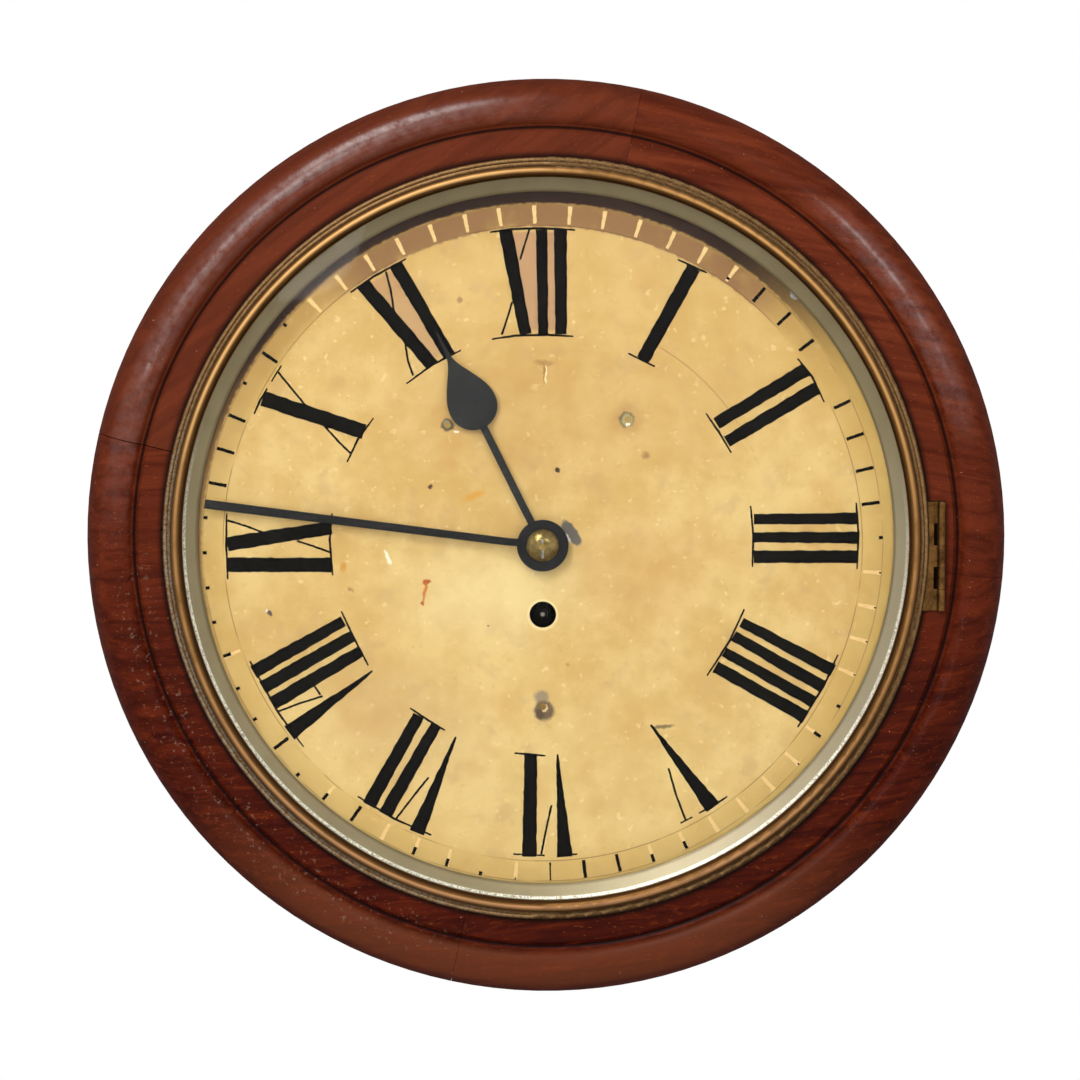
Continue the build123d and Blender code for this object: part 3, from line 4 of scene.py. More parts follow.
import bmesh
import bpy
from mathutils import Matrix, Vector


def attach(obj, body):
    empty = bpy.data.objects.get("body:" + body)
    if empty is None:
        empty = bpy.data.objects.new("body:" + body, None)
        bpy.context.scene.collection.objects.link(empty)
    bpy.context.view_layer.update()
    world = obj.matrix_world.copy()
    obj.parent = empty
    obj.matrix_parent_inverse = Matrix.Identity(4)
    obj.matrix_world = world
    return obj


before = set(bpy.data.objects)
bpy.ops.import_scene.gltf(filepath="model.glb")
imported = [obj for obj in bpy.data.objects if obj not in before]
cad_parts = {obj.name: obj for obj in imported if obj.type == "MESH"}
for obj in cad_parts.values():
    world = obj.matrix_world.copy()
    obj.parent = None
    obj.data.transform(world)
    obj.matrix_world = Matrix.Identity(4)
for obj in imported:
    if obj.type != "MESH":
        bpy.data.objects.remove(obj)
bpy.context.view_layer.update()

random.seed(12)
perMetre = 1000  # sizes are written in millimetres, and Blender works in metres


def tone(red, green, blue):
    # a colour, as the linear values that a shader takes
    def straight(level):
        level = level / 255
        return level / 12.92 if level <= 0.04045 else ((level + 0.055) / 1.055) ** 2.4
    return (straight(red), straight(green), straight(blue), 1.0)


class Link:
    # a socket that takes Python's own operators
    def __init__(self, look, socket):
        self.look = look
        self.socket = socket

    def sums(self, operation, first, second=0.0):
        # one Math node
        return self.look.node("ShaderNodeMath", {"operation": operation}, {0: first, 1: second})

    def __add__(self, other):
        return self.sums("ADD", self, other)

    def __radd__(self, other):
        return self.sums("ADD", other, self)

    def __sub__(self, other):
        return self.sums("SUBTRACT", self, other)

    def __rsub__(self, other):
        return self.sums("SUBTRACT", other, self)

    def __mul__(self, other):
        return self.sums("MULTIPLY", self, other)

    def __rmul__(self, other):
        return self.sums("MULTIPLY", other, self)

    def __gt__(self, other):
        return self.sums("GREATER_THAN", self, other)

    def __lt__(self, other):
        return self.sums("LESS_THAN", self, other)


class Look:
    # one material, built node by node
    def __init__(self, name, **constants):
        self.material = bpy.data.materials.new(name)
        self.material.use_nodes = True
        self.tree = self.material.node_tree
        self.shader = self.tree.nodes["Principled BSDF"]
        for socket, value in constants.items():
            self.shader.inputs[socket.replace("_", " ")].default_value = value

    def node(self, kind, settings=None, inputs=None, output=0):
        made = self.tree.nodes.new(kind)
        for key, value in (settings or {}).items():
            setattr(made, key, value)
        for key, value in (inputs or {}).items():
            self.feed(made.inputs[key], value)
        return Link(self, made.outputs[output])

    def feed(self, socket, value):
        if isinstance(value, Link):
            self.tree.links.new(value.socket, socket)
        else:
            socket.default_value = value

    def place(self, **mapping):
        # Object coordinates through a Mapping node
        coords = self.node("ShaderNodeTexCoord", output=3)
        inputs = {"Vector": coords}
        inputs.update({key.capitalize(): value for key, value in mapping.items()})
        return self.node("ShaderNodeMapping", {}, inputs)

    def millimetres(self):
        return self.place(scale=(perMetre, perMetre, perMetre))

    def turned(self):
        # for a turned ring: the point, the point without its depth, its radius and its direction
        point = self.millimetres()
        flat = self.vector("MULTIPLY", point, (1, 0, 1))
        return point, flat, self.vector("LENGTH", flat, output=1), self.vector("NORMALIZE", flat)

    def split(self, vector):
        return [self.node("ShaderNodeSeparateXYZ", {}, {0: vector}, axis) for axis in range(3)]

    def join(self, x, y, z):
        return self.node("ShaderNodeCombineXYZ", {}, {0: x, 1: y, 2: z})

    def vector(self, operation, first, second=(0, 0, 0), output=0):
        return self.node("ShaderNodeVectorMath", {"operation": operation}, {0: first, 1: second}, output)

    def noise(self, vector, scale, detail=4.0, roughness=0.55, distortion=0.0, output=0):
        inputs = {"Vector": vector, "Scale": scale, "Detail": detail, "Roughness": roughness,
                  "Distortion": distortion}
        return self.node("ShaderNodeTexNoise", {}, inputs, output)

    def blotch(self, point, shift, scale, low, high, detail=2.0):
        # patches of noise, moved by shift so that no two layers agree
        moved = self.vector("ADD", point, (shift, shift * 0.7, shift * 1.3))
        return self.step(self.noise(moved, scale, detail), low, high)

    def step(self, value, low, high):
        # 0 below low, 1 above high, smooth between; low may be the larger
        inputs = {"Value": value, "From Min": low, "From Max": high}
        return self.node("ShaderNodeMapRange", {"interpolation_type": "SMOOTHSTEP"}, inputs)

    def band(self, value, low, high, soft):
        return self.step(value, low - soft, low + soft) * self.step(value, high + soft, high - soft)

    def sector(self, unit, clock, inner, outer):
        # 1 within inner degrees of a clock angle, 0 beyond outer
        toward = (math.sin(math.radians(clock)), 0, math.cos(math.radians(clock)))
        facing = self.vector("DOT_PRODUCT", unit, toward, 1)
        return self.step(facing, math.cos(math.radians(outer)), math.cos(math.radians(inner)))

    def spot(self, point, middle, half, turn=0.0, soft=0.3):
        # 1 inside an ellipse turned clockwise on the dial, 0 outside
        moved = self.vector("SUBTRACT", point, (middle[0], 0, middle[1]))
        if turn:
            moved = self.node("ShaderNodeVectorRotate", {"rotation_type": "Y_AXIS"},
                              {"Vector": moved, "Angle": -math.radians(turn)})
        scaled = self.vector("MULTIPLY", moved, (1 / half[0], 0, 1 / half[1]))
        return self.step(self.vector("LENGTH", scaled, output=1), 1 + soft, 1 - soft)

    def mix(self, factor, first, second, blend="MIX"):
        settings = {"data_type": "RGBA", "blend_type": blend}
        return self.node("ShaderNodeMix", settings, {0: factor, 6: first, 7: second}, 2)

    def bump(self, height, strength, distance):
        inputs = {"Height": height, "Strength": strength, "Distance": distance}
        return self.node("ShaderNodeBump", {}, inputs)

    def give(self, **links):
        for socket, value in links.items():
            self.feed(self.shader.inputs[socket.replace("_", " ")], value)


def dress(look, *names):
    # one look on each of the named CAD nodes
    for name in names:
        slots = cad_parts[name].data.materials
        if not slots:
            slots.append(look.material)
        for index in range(len(slots)):
            slots[index] = look.material


dial = {
    "middle": (-1.3, -2.5),  # of the chapter ring, right and up
    "face": 117.5,  # from the wall to the paint
    "windingDrop": 31.0,  # from the middle down to the winding hole
}
brush = {
    "steps": 24, "sunk": 0.01, "outer": 139.2, "inner": 93.2,
    "thinWidth": 0.95, "barEnd": 0.75, "barWidth": 1.05,
    # height over the dial, and how far the edge wobbles
    "thick": (0.08, 0.22), "thin": (0.06, 0.1), "bar": (0.07, 0.1),
}


def onDial(hour, along, out, height):
    # along is clockwise from the hour's own line, out is out from the dial's middle
    angle = math.radians(30 * hour)
    across = dial["middle"][0] + out * math.sin(angle) + along * math.cos(angle)
    up = dial["middle"][1] + out * math.cos(angle) - along * math.sin(angle)
    return Vector((across, -(dial["face"] + height), up)) / perMetre


def brushStroke(mesh, hour, points, widths, height, wobble):
    # one painted stroke along points, widths wide at them, height proud of the dial
    grid = bmesh.ops.create_grid(mesh, x_segments=brush["steps"], y_segments=1, size=1.0)
    drift = [random.uniform(-1, 1) for _ in range(2 * (brush["steps"] + 3))]
    for vert in grid["verts"]:
        share = (vert.co.x + 1) / 2
        place = share * (len(points) - 1)
        first = min(int(place), len(points) - 2)
        part = place - first
        startAlong, startOut = points[first]
        endAlong, endOut = points[first + 1]
        wide = widths[first] * (1 - part) + widths[first + 1] * part
        side = 1 if vert.co.y > 0 else -1
        runAlong = endAlong - startAlong
        runOut = endOut - startOut
        length = math.hypot(runAlong, runOut)
        off = side * wide / 2 + wobble * drift[round(share * brush["steps"]) * 2 + (side > 0)]
        along = startAlong + runAlong * part - runOut / length * off
        out = startOut + runOut * part + runAlong / length * off
        vert.co = onDial(hour, along, out, height)
    faces = list({face for vert in grid["verts"] for face in vert.link_faces})
    under = bmesh.ops.extrude_face_region(mesh, geom=faces)
    for item in under["geom"]:
        if isinstance(item, bmesh.types.BMVert):
            item.co.y = -(dial["face"] - brush["sunk"]) / perMetre


def placed(mesh, name, look):
    # the bmesh as an object in the scene
    data = bpy.data.meshes.new(name)
    mesh.to_mesh(data)
    mesh.free()
    data.materials.append(look.material)
    piece = bpy.data.objects.new(name, data)
    bpy.context.scene.collection.objects.link(piece)
    return piece


def finished(mesh, name, look, body):
    # doubles merged and faces turned outwards, then riding on its body
    bmesh.ops.remove_doubles(mesh, verts=mesh.verts, dist=1e-7)
    bmesh.ops.recalc_face_normals(mesh, faces=mesh.faces)
    piece = placed(mesh, name, look)
    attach(piece, body)


# black paint of the numerals, with a few pale flecks
blackPaint = Look("black_paint", Roughness=0.5, Specular_IOR_Level=0.05)
point = blackPaint.millimetres()
base = blackPaint.mix(blackPaint.noise(point, 0.26, 3.0), tone(7, 6, 5), tone(19, 16, 13))
flecks = blackPaint.blotch(point, 8.0, 1.1, 0.73, 0.78)
blackPaint.give(Base_Color=blackPaint.mix(flecks * 0.6, base, tone(112, 98, 80)))

numerals = {
    # thick strokes: along and width at the outer end, then at the inner end
    # thin strokes and serif bars: points, each (along, out)
    12: {"thick": [(-16.3, 6.0, -7.5, 5.3), (-0.4, 5.0, 0.3, 4.4), (7.8, 5.7, 8.1, 5.1)],
         "thin": [[(-5.8, 139.2), (-9.9, 126.0)], [(-13.3, 107.5), (-15.6, 100.0), (-17.9, 93.0)]],
         "bars": [[(-23.0, 138.0), (-14, 139.3), (0, 139.8), (14.3, 139.0)],
                  [(-22.3, 91.0), (-12, 92.6), (2, 93.0), (13.5, 92.3)]]},
    1: {"thick": [(-3.8, 6.4, -2.9, 6.0)], "thin": [],
        "bars": [[(-11.7, 138.9), (-3, 139.6), (2.4, 140.2)], [(-9.8, 92.3), (-3, 92.8), (3.3, 93.1)]]},
    2: {"thick": [(-9.5, 6.1, -8.5, 5.4), (0.0, 6.0, 0.9, 5.4)], "thin": [],
        "bars": [[(-15.5, 138.4), (-5, 139.9), (7.0, 139.0)], [(-14.6, 91.5), (-5, 92.3), (6.1, 92.5)]]},
    3: {"thick": [(-12.1, 5.3, -11.6, 4.5), (-3.5, 5.2, -3.6, 4.5), (5.0, 5.8, 5.0, 5.5)], "thin": [],
        "bars": [[(-19.0, 138.2), (-5, 139.3), (10.5, 138.8)], [(-17.5, 91.7), (-4, 93.0), (9.6, 92.6)]]},
    4: {"thick": [(-16.0, 5.7, -14.5, 4.5), (-7.6, 5.7, -7.4, 4.8), (0.3, 5.4, 0.8, 4.6),
                  (8.0, 5.9, 8.5, 5.4)], "thin": [],
        "bars": [[(-23.2, 137.4), (-8, 139.0), (13.6, 138.3)], [(-20.0, 91.4), (-4, 92.9), (13.8, 92.0)]]},
    5: {"thick": [(-7.0, 7.2, -1.5, 0.9)], "thin": [[(6.3, 138.0), (4.4, 126.0), (1.3, 114.0)]],
        "bars": [[(-15.0, 138.0), (-7, 138.4), (-0.3, 138.2)], [(3.0, 138.3), (9.0, 138.0)]]},
    6: {"thick": [(-10.0, 6.9, -6.5, 0.9), (5.9, 6.4, 5.2, 5.7)],
        "thin": [[(0.6, 138.0), (-1.6, 127.0), (-4.0, 116.0)]],
        "bars": [[(-15.5, 138.0), (-7, 138.3)], [(-1, 138.6), (13.0, 138.0)],
                 [(-1.3, 93.9), (5, 93.3), (12.5, 92.7)]]},
    7: {"thick": [(-16.0, 6.9, -9.3, 0.9), (0.4, 6.1, 0.8, 5.0), (8.7, 6.1, 9.6, 5.3)],
        "thin": [[(-4.8, 138.2), (-6.2, 127.0), (-8.0, 115.0)]],
        "bars": [[(-22.0, 136.9), (-4, 138.7), (15.0, 138.2)], [(-3.8, 93.1), (5, 92.9), (14.5, 92.2)]]},
    8: {"thick": [(-16.4, 7.4, -11.0, 0.9), (-1.4, 6.3, -0.7, 5.3), (7.0, 5.9, 6.9, 5.4),
                  (15.0, 6.1, 14.8, 5.0)],
        "thin": [[(-5.7, 138.6), (-7.2, 129.0), (-9.6, 118.0)], [(-8.6, 118.6), (-4, 118.9)]],
        "bars": [[(-25.0, 136.8), (-6, 138.8), (20.0, 138.0)], [(-7.8, 93.6), (5, 93.0), (19.0, 91.8)]]},
    9: {"thick": [(-8.8, 6.4, -8.8, 6.5), (0.3, 6.4, 7.8, 6.0)],
        "thin": [[(10.9, 139.0), (8.4, 131.0), (5.4, 123.0)], [(1.8, 108.5), (-0.6, 101.0), (-3.2, 94.0)]],
        "bars": [[(-15.3, 139.1), (0, 139.7), (14.0, 139.4)], [(-13.5, 92.7), (2, 94.0), (14.0, 92.9)]]},
    10: {"thick": [(-5.5, 6.8, 4.2, 6.7)],
         "thin": [[(8.2, 139.4), (5.0, 131.0), (1.4, 121.5)], [(-2.2, 110.0), (-5.2, 101.0), (-7.1, 93.6)]],
         "bars": [[(-13.3, 139.0), (-7, 139.7), (-0.6, 139.6)], [(3.0, 139.5), (11.3, 139.2)],
                  [(-11.2, 93.0), (0, 93.9), (11.5, 92.6)]]},
    11: {"thick": [(-10.8, 6.4, -2.2, 5.9), (6.1, 6.1, 6.3, 5.5)],
         "thin": [[(0.8, 139.0), (-1.4, 131.0), (-4.8, 122.5)],
                  [(-7.9, 107.0), (-10.6, 100.0), (-11.8, 93.4)]],
         "bars": [[(-17.3, 138.8), (-5, 139.7), (11.3, 139.4)], [(-16.2, 91.8), (-2, 93.3), (12.0, 92.6)]]},
}
inkMesh = bmesh.new()
for hour, shape in numerals.items():
    for outerAlong, outerWide, innerAlong, innerWide in shape["thick"]:
        ends = [(outerAlong, brush["outer"]), (innerAlong, brush["inner"])]
        brushStroke(inkMesh, hour, ends, [outerWide, innerWide], *brush["thick"])
    for points in shape["thin"]:
        brushStroke(inkMesh, hour, points, [brush["thinWidth"]] * len(points), *brush["thin"])
    for points in shape["bars"]:
        widths = [brush["barEnd"]] + [brush["barWidth"]] * (len(points) - 2) + [brush["barEnd"]]
        brushStroke(inkMesh, hour, points, widths, *brush["bar"])
finished(inkMesh, "numerals", blackPaint, "case")
print("numerals painted")

track = {
    "turn": -1.35, "inner": 141.8, "outer": 149.8, "wide": 1.5, "thinWide": 0.7, "lean": 0.3,
    "paleWidths": (1.3, 1.9),
    # height over the dial, and how far the edge wobbles
    "pale": (0.05, 0.2), "black": (0.07, 0.15),
    # one letter for each minute: y or p pale, b black, t thin black, d the outer end black, - worn away,
    # and on a pale mark h a black half, o a thin black end, r a black bit near its root
    "state": "yyyyyyrbbb-bbbbdoooodhoppphhbbtodhhpbhdbddhddddbbbdbdyyyyyyy",
    "blackSpans": {"b": (0.0, 1.0), "h": (0.55, 1.0), "d": (0.82, 1.05), "o": (0.9, 1.02),
                   "r": (0.1, 0.25), "t": (0.0, 1.0)},
}
blackMarks = bmesh.new()
paleMarks = bmesh.new()
for minute, state in enumerate(track["state"]):
    hour = minute / 5 + track["turn"] / 30
    if state in "yprho":
        ends = [(0.0, track["inner"]), (random.uniform(-track["lean"], track["lean"]), track["outer"])]
        brushStroke(paleMarks, hour, ends, track["paleWidths"], *track["pale"])
    if state in track["blackSpans"]:
        low, high = track["blackSpans"][state]
        span = track["outer"] - track["inner"]
        ends = [(0.0, track["inner"] + span * low), (0.0, track["inner"] + span * high)]
        wide = track["thinWide"] if state in "to" else track["wide"]
        brushStroke(blackMarks, hour, ends, [wide, wide], *track["black"])
paleYellow = Look("pale_yellow_paint", Roughness=0.5)
paleShade = paleYellow.noise(paleYellow.place(), 400.0)
paleYellow.give(Base_Color=paleYellow.mix(paleShade, tone(214, 172, 104), tone(240, 210, 146)))
finished(blackMarks, "minute_marks", blackPaint, "case")
finished(paleMarks, "worn_minute_marks", paleYellow, "case")
print("minute track painted")

# dial paint: flat is in millimetres from the middle of the chapter ring, and point wanders a little from it
paintRings = {
    "numerals": (95.0, 138.0), "track": (140.6, 150.0), "innerLine": (140.9, 141.25),
    "outerLine": (149.9, 150.3), "darkerOutward": (132.0, 152.0), "paintedTopShade": (138.5, 145.0), "rim": (149.6, 151.4),
    "edge": (150.3, 151.8), "scratch": (101.3, 101.75), "windingHole": (0.0, 6.9),
}
cream = Look("dial_cream", Roughness=0.45, Specular_IOR_Level=0.2)
middleX, middleZ = dial["middle"]
flat = cream.place(scale=(perMetre, 0, perMetre), location=(-middleX, 0, -middleZ))
sway = cream.vector("SUBTRACT", cream.noise(flat, 0.45, 3.0, output=1), (0.5, 0.5, 0.5))
point = cream.vector("ADD", flat, cream.vector("MULTIPLY", sway, (2.4, 0, 2.4)))
x, _, z = cream.split(point)
radius = cream.vector("LENGTH", flat, output=1)
loose = cream.vector("LENGTH", point, output=1)
unit = cream.vector("NORMALIZE", flat)
wide = cream.noise(flat, 0.018, 3.0, 0.6)
cloud = cream.noise(flat, 0.06, 5.0, 0.62)
fine = cream.noise(flat, 1.6, 4.0, 0.65)
base = cream.mix(cream.step(wide * 0.5 + cloud * 0.5, 0.38, 0.62), tone(205, 166, 97), tone(224, 192, 126))
base = cream.mix(cream.step(z, 20.0, 150.0) * 0.45, base, tone(203, 162, 94))
base = cream.mix(cream.step(z, -20.0, -140.0) * 0.4, base, tone(233, 204, 138))
washes = [
    # shift, scale, low, high, color, strength
    (31.0, 0.042, 0.52, 0.72, (201, 155, 86), 0.45),
    (77.0, 0.085, 0.56, 0.74, (194, 157, 108), 0.4),
    (143.0, 0.24, 0.62, 0.72, (243, 219, 162), 0.45),
    (11.0, 0.5, 0.6, 0.75, (188, 146, 84), 0.3),
    (57.0, 1.15, 0.72, 0.8, (140, 96, 50), 0.55),
    (203.0, 1.9, 0.7, 0.78, (246, 226, 178), 0.4),
]
for shift, scale, low, high, color, strength in washes:
    base = cream.mix(cream.blotch(flat, shift, scale, low, high) * strength, base, tone(*color))
base = cream.mix(cream.step(fine, 0.35, 0.7) * 0.14, base, tone(172, 130, 70))

# the minute track, tinted browner; the dial darker towards its rim; at the top a mauve-brown tint, partly
# worn paint and partly painted shade of the bezel, and painted shadow along the top edge
top = cream.sector(unit, 2.5, 34, 45)
trackBand = cream.band(loose, *paintRings["track"], 0.5)
base = cream.mix(trackBand * (1 - top) * 0.3, base, tone(206, 166, 84))
# darker towards the rim
base = cream.mix(cream.step(radius, *paintRings["darkerOutward"]) * 0.4, base, tone(178, 142, 78))
# painted shade of the bezel over the top of the track
paintedTopShade = cream.step(loose, *paintRings["paintedTopShade"]) * cream.sector(unit, 350, 38, 85)
base = cream.mix(paintedTopShade * 0.45, base, tone(150, 112, 56))
# mauve-brown over the top of the track: partly worn paint, partly painted shade of the bezel
base = cream.mix(trackBand * top * cream.step(cloud, 0.2, 0.5) * 0.85, base, tone(134, 94, 60))
line = (cream.band(radius, *paintRings["innerLine"], 0.12)
        + cream.band(radius, *paintRings["outerLine"], 0.15) * 0.8)
patchy = cream.blotch(flat, 19.0, 0.05, 0.35, 0.55)
base = cream.mix(line * patchy * 0.7, base, tone(92, 60, 28))
outerRim = cream.step(loose, *paintRings["rim"])
base = cream.mix(outerRim * 0.5, base, tone(190, 156, 78))
shaded = cream.sector(unit, 330, 40, 105)
base = cream.mix(outerRim * shaded * 0.85, base, tone(112, 72, 36))
# painted shadow of the bezel: near black just inside the sight ring at the top
edge = cream.step(loose, *paintRings["edge"])
base = cream.mix(edge * cream.sector(unit, 350, 40, 70), base, tone(40, 18, 7))

# tinted panels between the strokes of the two top left numerals
panels = [
    # clock angle, lean of the left stroke, where it ends, where the right stroke begins, strength
    (0, 0.191, (10.0, 10.8), (6.9, 6.2), 0.75),
    (-30, 0.187, (15.0, 15.6), (6.5, 5.9), 0.6),
]
panelInner, panelOuter = paintRings["numerals"]
for clock, lean, leftEnd, rightStart, strength in panels:
    cosine = math.cos(math.radians(clock))
    sine = math.sin(math.radians(clock))
    slant = x * cosine - z * sine
    outward = z * cosine + x * sine
    panel = (cream.step(slant + outward * lean, *leftEnd) * cream.step(slant, *rightStart)
             * cream.step(outward, panelInner - 1, panelInner + 1)
             * cream.step(outward, panelOuter + 0.5, panelOuter - 0.5))
    base = cream.mix(panel * strength, base, tone(176, 132, 100))
arc = cream.band(radius, *paintRings["scratch"], 0.2) * cream.sector(unit, 46, 20, 26)
base = cream.mix(arc * patchy * 0.6, base, tone(122, 82, 42))

stains = [
    # middle, half sizes, turn, softness, color, strength
    ((-8, 58), (48, 28), 0, 0.7, (188, 142, 80), 0.35),
    ((42, -12), (24, 19), 20, 0.7, (202, 155, 96), 0.4),
    ((-25, -22), (34, 18), 0, 0.7, (238, 214, 156), 0.45),
    ((-62, -78), (34, 22), 30, 0.7, (200, 164, 112), 0.35),
    ((66, 62), (30, 20), 0, 0.7, (204, 162, 98), 0.3),
    ((37.0, 55.6), (6.5, 6.5), 0, 0.6, (170, 124, 66), 0.45),
    ((37.0, 55.6), (3.3, 3.3), 0, 0.2, (98, 90, 62), 0.9),
    ((37.3, 55.4), (2.6, 2.6), 0, 0.25, (172, 162, 112), 0.9),
    ((37.6, 53.4), (0.8, 1.0), 0, 0.3, (238, 232, 214), 0.9),
    ((-41.7, 53.2), (3.0, 2.7), 20, 0.25, (74, 70, 56), 0.95),
    ((-42.3, 53.8), (1.5, 1.2), 0, 0.4, (150, 152, 128), 0.8),
    ((-38.0, 50.2), (1.2, 0.7), 0, 0.3, (240, 234, 214), 0.9),
    ((-0.5, -67.7), (3.4, 2.9), 0, 0.35, (146, 128, 106), 0.85),
    ((0.6, -73.8), (4.5, 4.4), 0, 0.2, (106, 84, 64), 0.95),
    ((-1.2, -75.2), (2.0, 2.0), 0, 0.5, (78, 60, 46), 0.7),
    ((1.1, -72.6), (1.3, 1.5), 0, 0.3, (220, 194, 140), 0.9),
    ((12.6, 5.2), (2.8, 6.4), -35, 0.15, (98, 93, 88), 0.95),
    ((10.6, 3.6), (0.6, 3.4), -35, 0.3, (236, 230, 214), 0.9),
    ((6.5, 33.2), (1.1, 1.0), 0, 0.3, (44, 24, 16), 0.95),
    ((-49.5, 25.8), (1.1, 1.0), 0, 0.3, (58, 32, 26), 0.95),
    ((-30.2, 21.9), (4.8, 1.5), -20, 0.5, (210, 152, 58), 0.8),
    ((-51.3, -16.4), (1.8, 1.3), 0, 0.3, (166, 68, 14), 0.95),
    ((-52.0, -21.0), (0.7, 5.0), 10, 0.4, (194, 106, 34), 0.9),
    ((-53.1, -26.0), (0.9, 0.9), 0, 0.3, (166, 68, 14), 0.9),
    ((-68.4, -5.3), (0.8, 3.2), -25, 0.4, (246, 238, 216), 0.85),
    ((1.5, 75.8), (0.35, 4.3), 0, 0.3, (242, 222, 170), 0.9),
    ((0.6, 76.2), (0.35, 4.6), 0, 0.4, (140, 98, 56), 0.7),
    ((0.8, 80.6), (4.0, 1.2), 5, 0.6, (156, 110, 62), 0.6),
    ((45.5, 39.8), (1.7, 1.6), 0, 0.6, (148, 104, 58), 0.75),
    ((-36.4, 108.4), (1.2, 1.3), 0, 0.5, (146, 106, 68), 0.7),
    ((-88.0, -10.0), (1.4, 2.0), 0, 0.5, (204, 136, 54), 0.75),
    ((-85.0, -19.8), (1.6, 0.7), 35, 0.4, (150, 104, 62), 0.6),
    ((-120.7, -30.3), (0.9, 1.7), -30, 0.3, (66, 62, 72), 0.85),
    ((-121.8, -29.2), (0.6, 0.7), 0, 0.4, (240, 234, 220), 0.8),
    ((53.4, -80.8), (4.7, 0.9), -6, 0.4, (104, 86, 62), 0.8),
    ((11.0, -53.0), (0.8, 0.8), 0, 0.5, (156, 112, 68), 0.6),
    ((-24.0, -36.0), (0.6, 0.6), 0, 0.4, (104, 76, 48), 0.7),
    ((0.3, -134.5), (0.8, 3.6), 10, 0.4, (236, 216, 160), 0.6),
    ((118.0, 4.0), (6.0, 3.0), 60, 0.6, (186, 138, 76), 0.5),
]
for middle, half, turn, soft, color, strength in stains:
    base = cream.mix(cream.spot(point, middle, half, turn, soft) * strength, base, tone(*color))
fromHole = cream.vector("DISTANCE", flat, (0, 0, -dial["windingDrop"]), 1)
windingRim = cream.band(fromHole, *paintRings["windingHole"], 0.25)
base = cream.mix(windingRim * 0.7, base, tone(240, 216, 158))
cream.give(Base_Color=base, Normal=cream.bump(cloud * 0.7 + fine * 0.3, 0.2, 0.0004))
dress(cream, "dial")
print("dial dressed")

# polished wood of the surround, in four segments, each with its own run of the grain
woodRings = {
    "bore": (172.0, 168.8), "dusty": (175.0, 193.0), "groove": (180.8, 182.2), "roll": (184.0, 200.0),
    "polished": (184.5, 196.0), "rim": (196.0, 203.0),
}
mahogany = Look("mahogany", Specular_IOR_Level=0.04, Coat_Roughness=0.25)
point, flat, radius, unit = mahogany.turned()
x, y, z = mahogany.split(point)
angle = x.sums("ARCTAN2", z, x)
joints = {"right": -4.7, "top": 78.0, "left": 166.6, "foot": -102.0}  # degrees up from the right
grain = {"upRight": -0.19, "upLeft": 0.62, "lowLeft": 0.05, "lowRight": 0.14}  # turn of the grain, radians
right, topJoint, left, foot = [math.radians(joints[name]) for name in ("right", "top", "left", "foot")]
upRight = (angle > right) * (angle < topJoint)
upLeft = (angle > topJoint) * (angle < left)
lowRight = (angle > foot) * (angle < right)
lowLeft = 1 - upRight - upLeft - lowRight
turn = (upRight * grain["upRight"] + upLeft * grain["upLeft"] + lowLeft * grain["lowLeft"]
        + lowRight * grain["lowRight"])
cosine = turn.sums("COSINE", turn)
sine = turn.sums("SINE", turn)
along = x * cosine + z * sine
across = z * cosine - x * sine + turn * 300  # each segment from its own part of the plank
streak = mahogany.noise(mahogany.join(along * 0.05, across, y), 0.2, 4.0, 0.5, 0.6)
pores = mahogany.noise(mahogany.join(along * 0.07, across, y), 1.9, 2.0)
figure = mahogany.noise(mahogany.join(along * 0.24, across, y), 0.26, 3.0, 0.6, 0.8)
specks = mahogany.noise(mahogany.join(along * 0.3, across + 40.0, y), 1.3, 1.0)
low = mahogany.step(z, 100.0, -110.0)
upper = mahogany.mix(mahogany.step(streak, 0.25, 0.75), tone(88, 32, 15), tone(124, 54, 29))
lower = mahogany.mix(mahogany.step(streak, 0.25, 0.75), tone(56, 12, 5), tone(92, 29, 12))
base = mahogany.mix(low, upper, lower)
base = mahogany.mix(mahogany.step(figure, 0.52, 0.7) * (low * 0.25 + 0.08), base, tone(136, 54, 20))
base = mahogany.mix(mahogany.step(figure, 0.48, 0.32) * (low * 0.25 + 0.15), base, tone(44, 8, 4))
base = mahogany.mix(mahogany.step(pores, 0.56, 0.72) * 0.22, base, tone(40, 10, 5))
base = mahogany.mix(mahogany.step(specks, 0.68, 0.76) * 0.4, base, tone(168, 88, 40))
base = mahogany.mix(upLeft * 0.35, base, tone(108, 52, 32))
# painted light from below on the bottom of the roll, with dust: lighter brown there
onRoll = mahogany.band(radius, *woodRings["roll"], 2.0)
base = mahogany.mix(onRoll * mahogany.sector(unit, 182, 22, 55) * 0.55, base, tone(128, 68, 42))
dust = mahogany.blotch(flat, 21.0, 0.5, 0.6, 0.72, 3.0) * mahogany.sector(unit, 232, 22, 48)
base = mahogany.mix(dust * mahogany.band(radius, *woodRings["dusty"], 3.0) * 0.55, base, tone(148, 116, 96))
# painted shade on the outer shoulder, darker towards the outer edge
base = mahogany.mix(mahogany.step(radius, *woodRings["rim"]) * 0.4, base, tone(58, 16, 7))
base = mahogany.mix(mahogany.band(radius, *woodRings["groove"], 0.4) * 0.85, base, tone(24, 14, 14))
